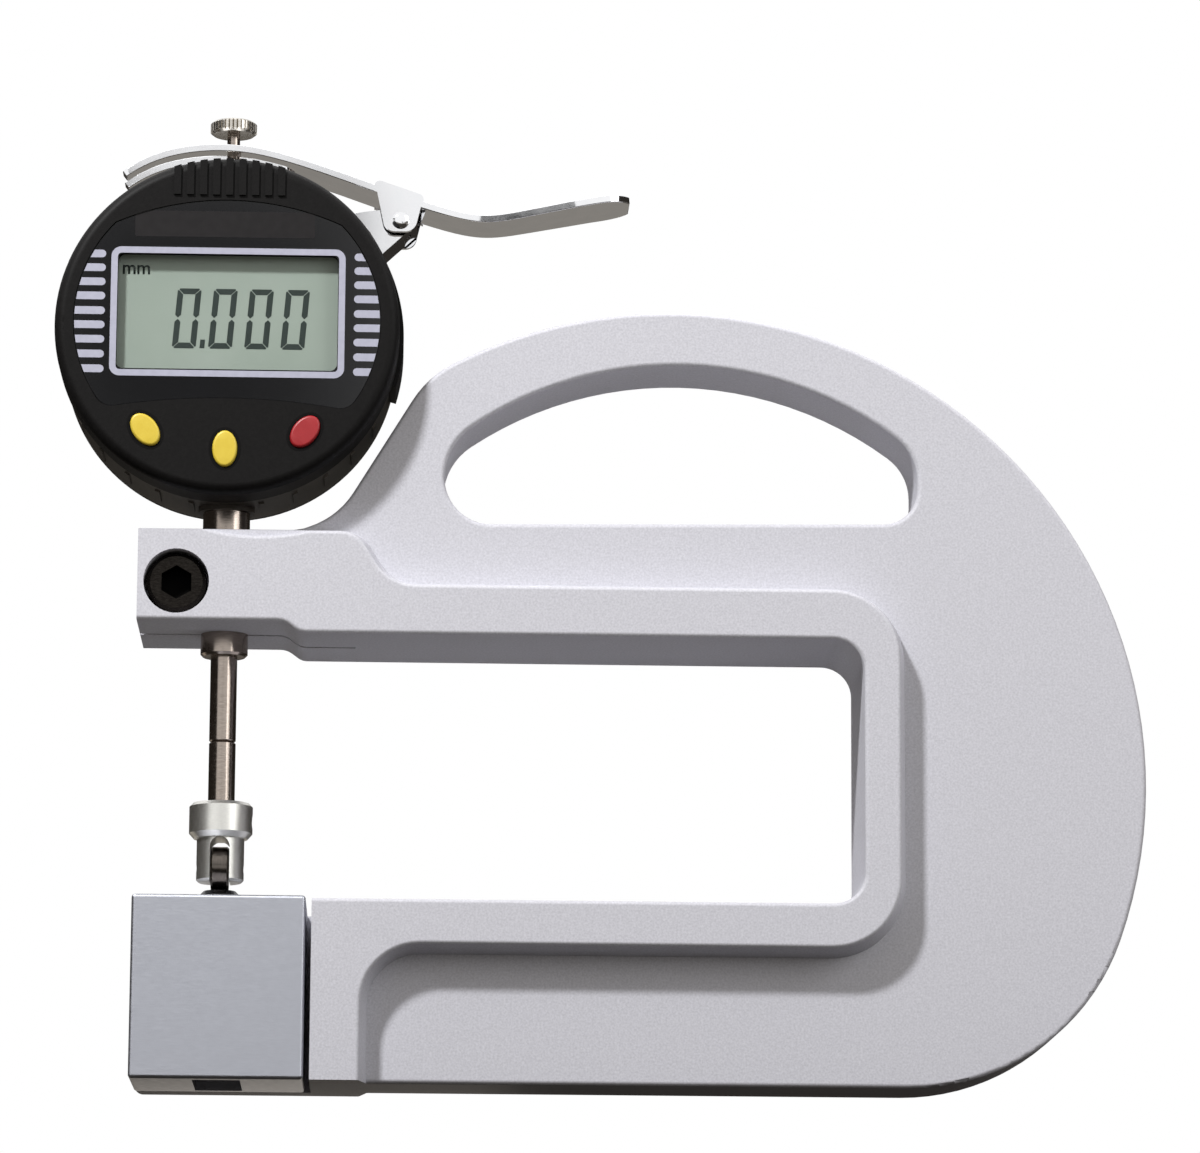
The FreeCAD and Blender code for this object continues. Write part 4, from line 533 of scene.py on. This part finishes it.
# %% Clamp screw socket
SOCKET_RADIUS = 0.0029
SOCKET_DEEP = 0.005
SOCKET_LIP = 0.0003


def extent(vertices):
    along = list(zip(*(vertex.co for vertex in vertices)))
    return [min(values) for values in along], [max(values) for values in along]


screw = dressed["clamp_screw"].data
# The second slot is the socket's painted shade.
screw.materials.append(painted_socket_shade)
low, high = extent(screw.vertices)
axis_x, axis_z = (low[0] + high[0]) / 2, (low[2] + high[2]) / 2
for face in screw.polygons:
    aside = math.hypot(face.center.x - axis_x, face.center.z - axis_z)
    if aside < SOCKET_RADIUS and SOCKET_LIP < face.center.y - low[1] < SOCKET_DEEP:
        face.material_index = 1
print("socket faces:", sum(face.material_index for face in screw.polygons))

# %% [markdown]
# ## Flat prints on the face
# The bars, the border and the display's segments are ink or glass a few hundredths of
# a millimetre proud of the face. Each starts as one square face that is scaled,
# has its corners bevelled, is inset where it is a ring, and is then extruded a little,
# so that it has an edge, and stood upright on the face.

# %% Flat plates
FACE_Y = -16.8
LCD_Y = -14.6
BEZEL_Y = -17.0
INK = 0.03


def round_corners(bm, corners, radius, steps):
    bmesh.ops.bevel(bm, geom=corners, affect="VERTICES", offset=radius, segments=steps, profile=0.5, material=-1)


def hollow_out(bm, thickness):
    middle = bm.faces[:]
    bmesh.ops.inset_region(bm, faces=middle, thickness=thickness, use_boundary=True, use_even_offset=True)
    bmesh.ops.delete(bm, geom=middle, context="FACES")


def join(bm, part, x, z):
    bmesh.ops.translate(part, verts=part.verts, vec=(x, z, 0))
    mesh = bpy.data.meshes.new("part")
    part.to_mesh(mesh)
    part.free()
    bm.from_mesh(mesh)
    bpy.data.meshes.remove(mesh)


def raised(bm, height=INK):
    risen = bmesh.ops.extrude_face_region(bm, geom=bm.faces[:])["geom"]
    top = [item for item in risen if isinstance(item, bmesh.types.BMVert)]
    bmesh.ops.translate(bm, verts=top, vec=(0, 0, height))
    bmesh.ops.recalc_face_normals(bm, faces=bm.faces)


def stand_on(bm, x, z, y):
    upright = Matrix.Rotation(math.radians(90), 4, "X") @ Matrix.Scale(MM, 4)
    bmesh.ops.transform(bm, matrix=Matrix.Translation(at(x, y, FACE_Z + z)) @ upright, verts=bm.verts)


def finish_piece(name, bm, material):
    piece = into_object(name, bm, material)
    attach(piece, "frame_body")
    print(name, "mm:", in_mm(piece.dimensions))


print("plates ready")

# %% [markdown]
# ## The border round the display
# A rounded rectangle of pale ink, with its middle left out after an inset.

# %% Display border
BORDER_WIDE, BORDER_HIGH, BORDER_LINE, BORDER_CORNER = 39.5, 22.35, 1.09, 1.7
BORDER_AT = (0.05, 2.08)
bm = plate(BORDER_WIDE, BORDER_HIGH)
round_corners(bm, bm.verts[:], BORDER_CORNER, 6)
hollow_out(bm, BORDER_LINE)
raised(bm)
stand_on(bm, *BORDER_AT, FACE_Y)
finish_piece("display_border", bm, lilac_ink)

# %% [markdown]
# ## Bars at the sides of the display
# Nine bars on each side run from a round inner end out to the edge of the face, which
# cuts them along its curve. The two outer corners of each bar are moved onto that
# curve, so every bar ends with the edge's own slope.

# %% Side bars
EDGE_CENTRE = (1.778, 0.616)
EDGE_RADIUS = 23.95
BAR_HEIGHTS = (11.95, 9.55, 7.1, 4.65, 2.1, -0.35, -2.85, -5.4, -7.95)
BAR_WIDE, BAR_END = 1.33, 0.66
BAR_STARTS = {"left": -20.6, "right": 21.3}


def side_bar(bm, start, height):
    part = plate(1.0, BAR_WIDE)
    inner = [corner for corner in part.verts if corner.co.x * start < 0]
    for corner in part.verts:
        if corner in inner:
            corner.co.x = start
        else:
            rise = height + corner.co.y - EDGE_CENTRE[1]
            reach = EDGE_CENTRE[0] + math.sqrt(EDGE_RADIUS ** 2 - rise ** 2)
            corner.co.x = math.copysign(reach, start)
    round_corners(part, inner, BAR_END, 5)
    join(bm, part, 0, height)


for side, start in BAR_STARTS.items():
    bm = bmesh.new()
    for height in BAR_HEIGHTS:
        side_bar(bm, start, height)
    raised(bm)
    stand_on(bm, 0, 0, FACE_Y)
    finish_piece(side + "_bars", bm, lilac_ink)

# %% [markdown]
# ## The digits
# A liquid-crystal nought has six segments. A plate with a seam at mid height is given
# small corners and inset, its middle is deleted, and the ring's seams at the corners
# become the gaps between segments once each segment is inset by itself. At mid height
# a vertex bevel cuts the notch that gives the uprights their points. A shear leans it.

# %% Display digits
DIGIT_WIDTH, DIGIT_HEIGHT, STROKE, GAP, LEAN = 4.13, 10.5, 1.1, 0.055, 0.083
DIGIT_LEFTS = (-9.4, -3.3, 2.8, 8.9)
DIGIT_FOOT = -3.8
OUTER_CUT, WAIST_CUT, WAIST_OPEN, WAIST_REACH = 0.4, 0.5, 0.08, 0.7
POINT_WIDE, POINT_HIGH, POINT_AT = 0.8, 1.5, (-4.27, 0.85)
NEAR = 0.01


def drop_triangles(bm):
    bmesh.ops.delete(bm, geom=[face for face in bm.faces if len(face.verts) == 3], context="FACES")


def nought():
    bm = plate(DIGIT_WIDTH, DIGIT_HEIGHT, rows=2)
    hollow_out(bm, STROKE)
    round_corners(bm, [v for v in bm.verts if abs(v.co.y) < NEAR], WAIST_CUT, 1)
    drop_triangles(bm)
    at_side = [v for v in bm.verts if abs(v.co.x) > DIGIT_WIDTH / 2 - NEAR]
    round_corners(bm, [v for v in at_side if abs(v.co.y) > DIGIT_HEIGHT / 2 - NEAR], OUTER_CUT, 1)
    drop_triangles(bm)
    rims = bmesh.ops.inset_individual(bm, faces=bm.faces[:], thickness=GAP, use_even_offset=True)
    bmesh.ops.delete(bm, geom=rims["faces"], context="FACES")
    for vertex in bm.verts:
        if abs(vertex.co.y) < WAIST_REACH:
            vertex.co.y += math.copysign(WAIST_OPEN, vertex.co.y)
    return bm


bm = bmesh.new()
for left in DIGIT_LEFTS:
    join(bm, nought(), left + DIGIT_WIDTH / 2, DIGIT_FOOT + DIGIT_HEIGHT / 2)
join(bm, plate(POINT_WIDE, POINT_HIGH), POINT_AT[0], DIGIT_FOOT + POINT_AT[1])
for vertex in bm.verts:
    vertex.co.x += (vertex.co.y - DIGIT_FOOT) * LEAN
raised(bm)
stand_on(bm, 0, 0, LCD_Y)
finish_piece("display_digits", bm, dark_segment)

# %% [markdown]
# ## The unit beside the digits
# Small lettering is quickest as a text object, with a small offset that makes it bolder.
# It becomes a mesh first, then its points are scaled to the size measured on the display.

# %% Unit mark
UNIT_WIDE, UNIT_HIGH = 4.6, 1.6
UNIT_AT = (-17.85, 9.0)
UNIT_BOLDER = 0.012
words = bpy.data.objects.new("unit", bpy.data.curves.new("unit", "FONT"))
words.data.body = "mm"
words.data.offset = UNIT_BOLDER
bm = bmesh.new()
bm.from_mesh(bpy.data.meshes.new_from_object(words))
low, high = extent(bm.verts)
bmesh.ops.translate(bm, verts=bm.verts, vec=(-low[0], -low[1], 0))
bmesh.ops.scale(bm, vec=(UNIT_WIDE / (high[0] - low[0]), UNIT_HIGH / (high[1] - low[1]), 1), verts=bm.verts)
raised(bm)
stand_on(bm, *UNIT_AT, LCD_Y)
finish_piece("display_unit", bm, dark_segment)
bpy.data.objects.remove(words)

# %% [markdown]
# ## Rings round the buttons
# Each button sits in a small countersink whose shade reads as a dark ring. That shade is
# painted: an oval a little larger than the button, a hair proud of the bezel, draws it from any side.

# %% Button rings
RING_LONG, RING_SHORT, RING_LINE, RING_PROUD = 3.7, 2.7, 0.5, 0.02
RINGS = {"left": (-13.4, -18.4, -52.0), "middle": (0.0, -21.5, 90.0), "right": (13.4, -18.4, 52.0)}
for side, (x, z, turn_deg) in RINGS.items():
    bm = bmesh.new()
    bmesh.ops.create_circle(bm, cap_ends=True, segments=48, radius=1.0)
    bmesh.ops.scale(bm, vec=(RING_LONG, RING_SHORT, 1), verts=bm.verts)
    hollow_out(bm, RING_LINE)
    bmesh.ops.rotate(bm, verts=bm.verts, matrix=Matrix.Rotation(math.radians(turn_deg), 3, "Z"))
    raised(bm, RING_PROUD)
    stand_on(bm, x, z, BEZEL_Y)
    finish_piece(side + "_button_painted_shade_ring", bm, countersink_shade_paint)

# %% [markdown]
# ## The plain strip above the display
# A slightly lighter, satin strip lies on the glossy face above the display. It is one
# plate with small corners, like the prints.

# %% Plain strip
STRIP_WIDE, STRIP_HIGH, STRIP_CORNER = 30.3, 4.5, 0.3
STRIP_AT = (-0.65, 17.35)
bm = plate(STRIP_WIDE, STRIP_HIGH)
round_corners(bm, bm.verts[:], STRIP_CORNER, 2)
raised(bm)
stand_on(bm, *STRIP_AT, FACE_Y)
finish_piece("plain_strip", bm, satin_strip)
